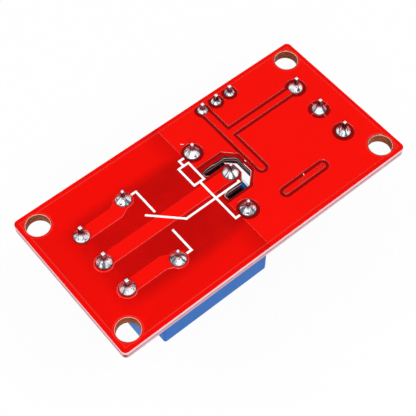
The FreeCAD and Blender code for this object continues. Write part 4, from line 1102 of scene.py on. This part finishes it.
# Header and jumper. A black moulded strip holds three pins, and a black cap with a folded bronze
# clip in it bridges two of them.
STRIP_ROUNDING = 0.06 * MM
CAP_ROUNDING = 0.08 * MM
CLIP_ROUNDING = 0.03 * MM
rounded_piece("header_housing", "header_strip_moulding", STRIP_ROUNDING, [black_plastic])
rounded_piece("jumper_cap", "jumper_cap_moulding", CAP_ROUNDING, [black_plastic])
rounded_piece("jumper_clip", "jumper_clip_spring", CLIP_ROUNDING, [bronze])

# Solder joints. Each is a bright cone of solder that wets its pin and its pad, a little uneven,
# with painted reflections as grey streaks down it, a dark band at its foot and a painted
# reflection round its neck.
# Each ring's radius beyond the pin and its height, as shares of the joint's, from the pad up.
SOLDER_PROFILE = (
    (1.00, 0.00), (0.98, 0.03), (0.93, 0.08), (0.84, 0.15), (0.72, 0.24), (0.58, 0.34),
    (0.43, 0.44), (0.29, 0.54), (0.18, 0.64), (0.10, 0.75), (0.04, 0.87), (0.00, 1.00),
)
SOLDER_SIDES = 40
LOBES = 3
LEAST_LOBE, GREATEST_LOBE = 0.01, 0.04
LOBE_SWELL = 1.6
SILVER = (0.92, 0.97, 1.0)
SILVER_REFLECTION_GREY = (0.13, 0.14, 0.17)
FOOT_DARK = (0.08, 0.06, 0.07)
NECK_REFLECTION_PINK = (0.15, 0.05, 0.06)
NECK_REFLECTION_BLACK = (0.010, 0.005, 0.007)
FOOT_CLEAN = 0.20
FOOT_FULL = 0.07
SOLDER_METAL = 0.88
chance = random.Random(7)


def solder_metal(name, neck_low, neck_high):
    """Bright solder, with painted reflections streaked from its pin outward, dark at its foot, and
    a painted reflection at its neck.
    """
    material, tree, shader = new_material(name, Roughness=0.13, Specular_IOR_Level=0.1)
    place = own_place(tree)
    cloud = use_group(tree, mottle, Place=place, Patch=1.3)
    sideways = combine(tree, "MULTIPLY", own_facing(tree), (1, 1, 0))
    sideways = combine(tree, "NORMALIZE", sideways)
    around = combine(tree, "ADD", sideways, enlarge(tree, place, 0.3))
    # Painted reflections: dark streaks round each cone, by the way it faces.
    reflection_streaks = grain(tree, around, scale=1.25, detail=2.0, distortion=0.5)
    reflection_streaks = ramp(tree, reflection_streaks, low=0.45, high=0.62)
    silver = vary(tree, reflection_streaks, SILVER, SILVER_REFLECTION_GREY)
    specks = grain(tree, place, scale=2.6, detail=2.0, distortion=0.8)
    specks = ramp(tree, specks, low=0.59, high=0.64)
    height = axis_of(tree, place, "Z")
    pad_level = in_mm(pour_high).z
    foot = ramp(tree, height, pad_level + FOOT_CLEAN, pad_level + FOOT_FULL)
    neck = ramp(tree, height, pad_level + neck_low, pad_level + neck_high)
    dark = calculate(tree, "MAXIMUM", specks, foot)
    body = vary(tree, dark, silver, FOOT_DARK)
    # Painted reflection round the neck, in pink and black, with less metal.
    painted_reflection = vary(tree, reflection_streaks, NECK_REFLECTION_PINK, NECK_REFLECTION_BLACK)
    tree.links.new(vary(tree, neck, body, painted_reflection), shader.inputs["Base Color"])
    metallic = ramp(tree, neck, 0.0, 1.0, SOLDER_METAL, REFLECTION_METALLIC)
    tree.links.new(metallic, shader.inputs["Metallic"])
    raise_surface(tree, shader, cloud["Height"], depth=0.04 * MM)
    return material


bright_solder = solder_metal("bright_solder", 0.90, 1.14)
header_solder = solder_metal("header_solder", 0.35, 0.6)


def solder_cones(node, pin_radius, spread):
    """Turned cones that swell at the pad and draw in to the pin."""
    shape = bmesh.new()
    for low, high in separate_boxes(node):
        centre = (low + high) / 2
        radius = spread * (high.x - low.x) / 2
        lobes = [
            (chance.uniform(LEAST_LOBE, GREATEST_LOBE), chance.uniform(0, 2 * math.pi))
            for _ in range(LOBES)
        ]
        rings = []
        for out_share, share in SOLDER_PROFILE:
            reach = pin_radius + (radius - pin_radius) * out_share
            level = low.z + (high.z - low.z) * share
            swell = math.sin(math.pi * min(share * LOBE_SWELL, 1.0))
            circle = []
            for side in range(SOLDER_SIDES):
                angle = 2 * math.pi * side / SOLDER_SIDES
                wave = sum(
                    size * math.sin(count * angle + phase)
                    for count, (size, phase) in enumerate(lobes, 1)
                )
                out = reach * (1 + wave * swell)
                spot = (centre.x + out * math.cos(angle), centre.y + out * math.sin(angle), level)
                circle.append(shape.verts.new(spot))
            rings.append(circle)
        for lower, upper in zip(rings, rings[1:]):
            for side in range(SOLDER_SIDES):
                following = (side + 1) % SOLDER_SIDES
                shape.faces.new(
                    (lower[side], lower[following], upper[following], upper[side])
                )
        shape.faces.new(list(reversed(rings[0])))
        shape.faces.new(rings[-1])
    metal = header_solder if node == "header_solder" else bright_solder
    piece = make_piece(node + "_cones", shape, [metal])
    smooth(piece.data)
    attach(piece, "board")
    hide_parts(node)


for node, (pin_radius, spread) in SOLDER_SETS.items():
    solder_cones(node, pin_radius * MM, spread)

# Small parts on the component side, soldered flat: black epoxy bodies, flat leads, glazed
# resistors, and two clear indicator lights.
EPOXY_ROUNDING = 0.04 * MM
LEAD_ROUNDING = 0.02 * MM
CHIP_ROUNDING = 0.03 * MM
LENS_ROUNDING = 0.06 * MM
LIGHTS = {"power_led": (0.95, 0.55, 0.45), "relay_led": (0.55, 0.9, 0.5)}
CLEAR_RESIN = (0.95, 0.93, 0.86)
for node in ("optocoupler", "transistor", "diode"):
    rounded_piece(node, node + "_epoxy", EPOXY_ROUNDING, [black_plastic])
for node in ("optocoupler_leads", "transistor_leads", "diode_leads", "chip_end_caps"):
    rounded_piece(node, node + "_tinned", LEAD_ROUNDING, [tinned])
finish_node("component_pads", tinned)

glaze = mottled_material(
    "resistor_glaze",
    dark=(0.01, 0.01, 0.012),
    light=(0.03, 0.03, 0.035),
    patch=0.4,
    Roughness=0.3,
)
rounded_piece("chip_resistors", "chip_resistor_glaze", CHIP_ROUNDING, [glaze])

for node, tint in LIGHTS.items():
    resin = mottled_material(
        node + "_resin",
        dark=tint,
        light=CLEAR_RESIN,
        patch=0.5,
        Roughness=0.2,
        Transmission_Weight=0.35,
    )
    rounded_piece(node, node + "_lens", LENS_ROUNDING, [resin])

low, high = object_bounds()
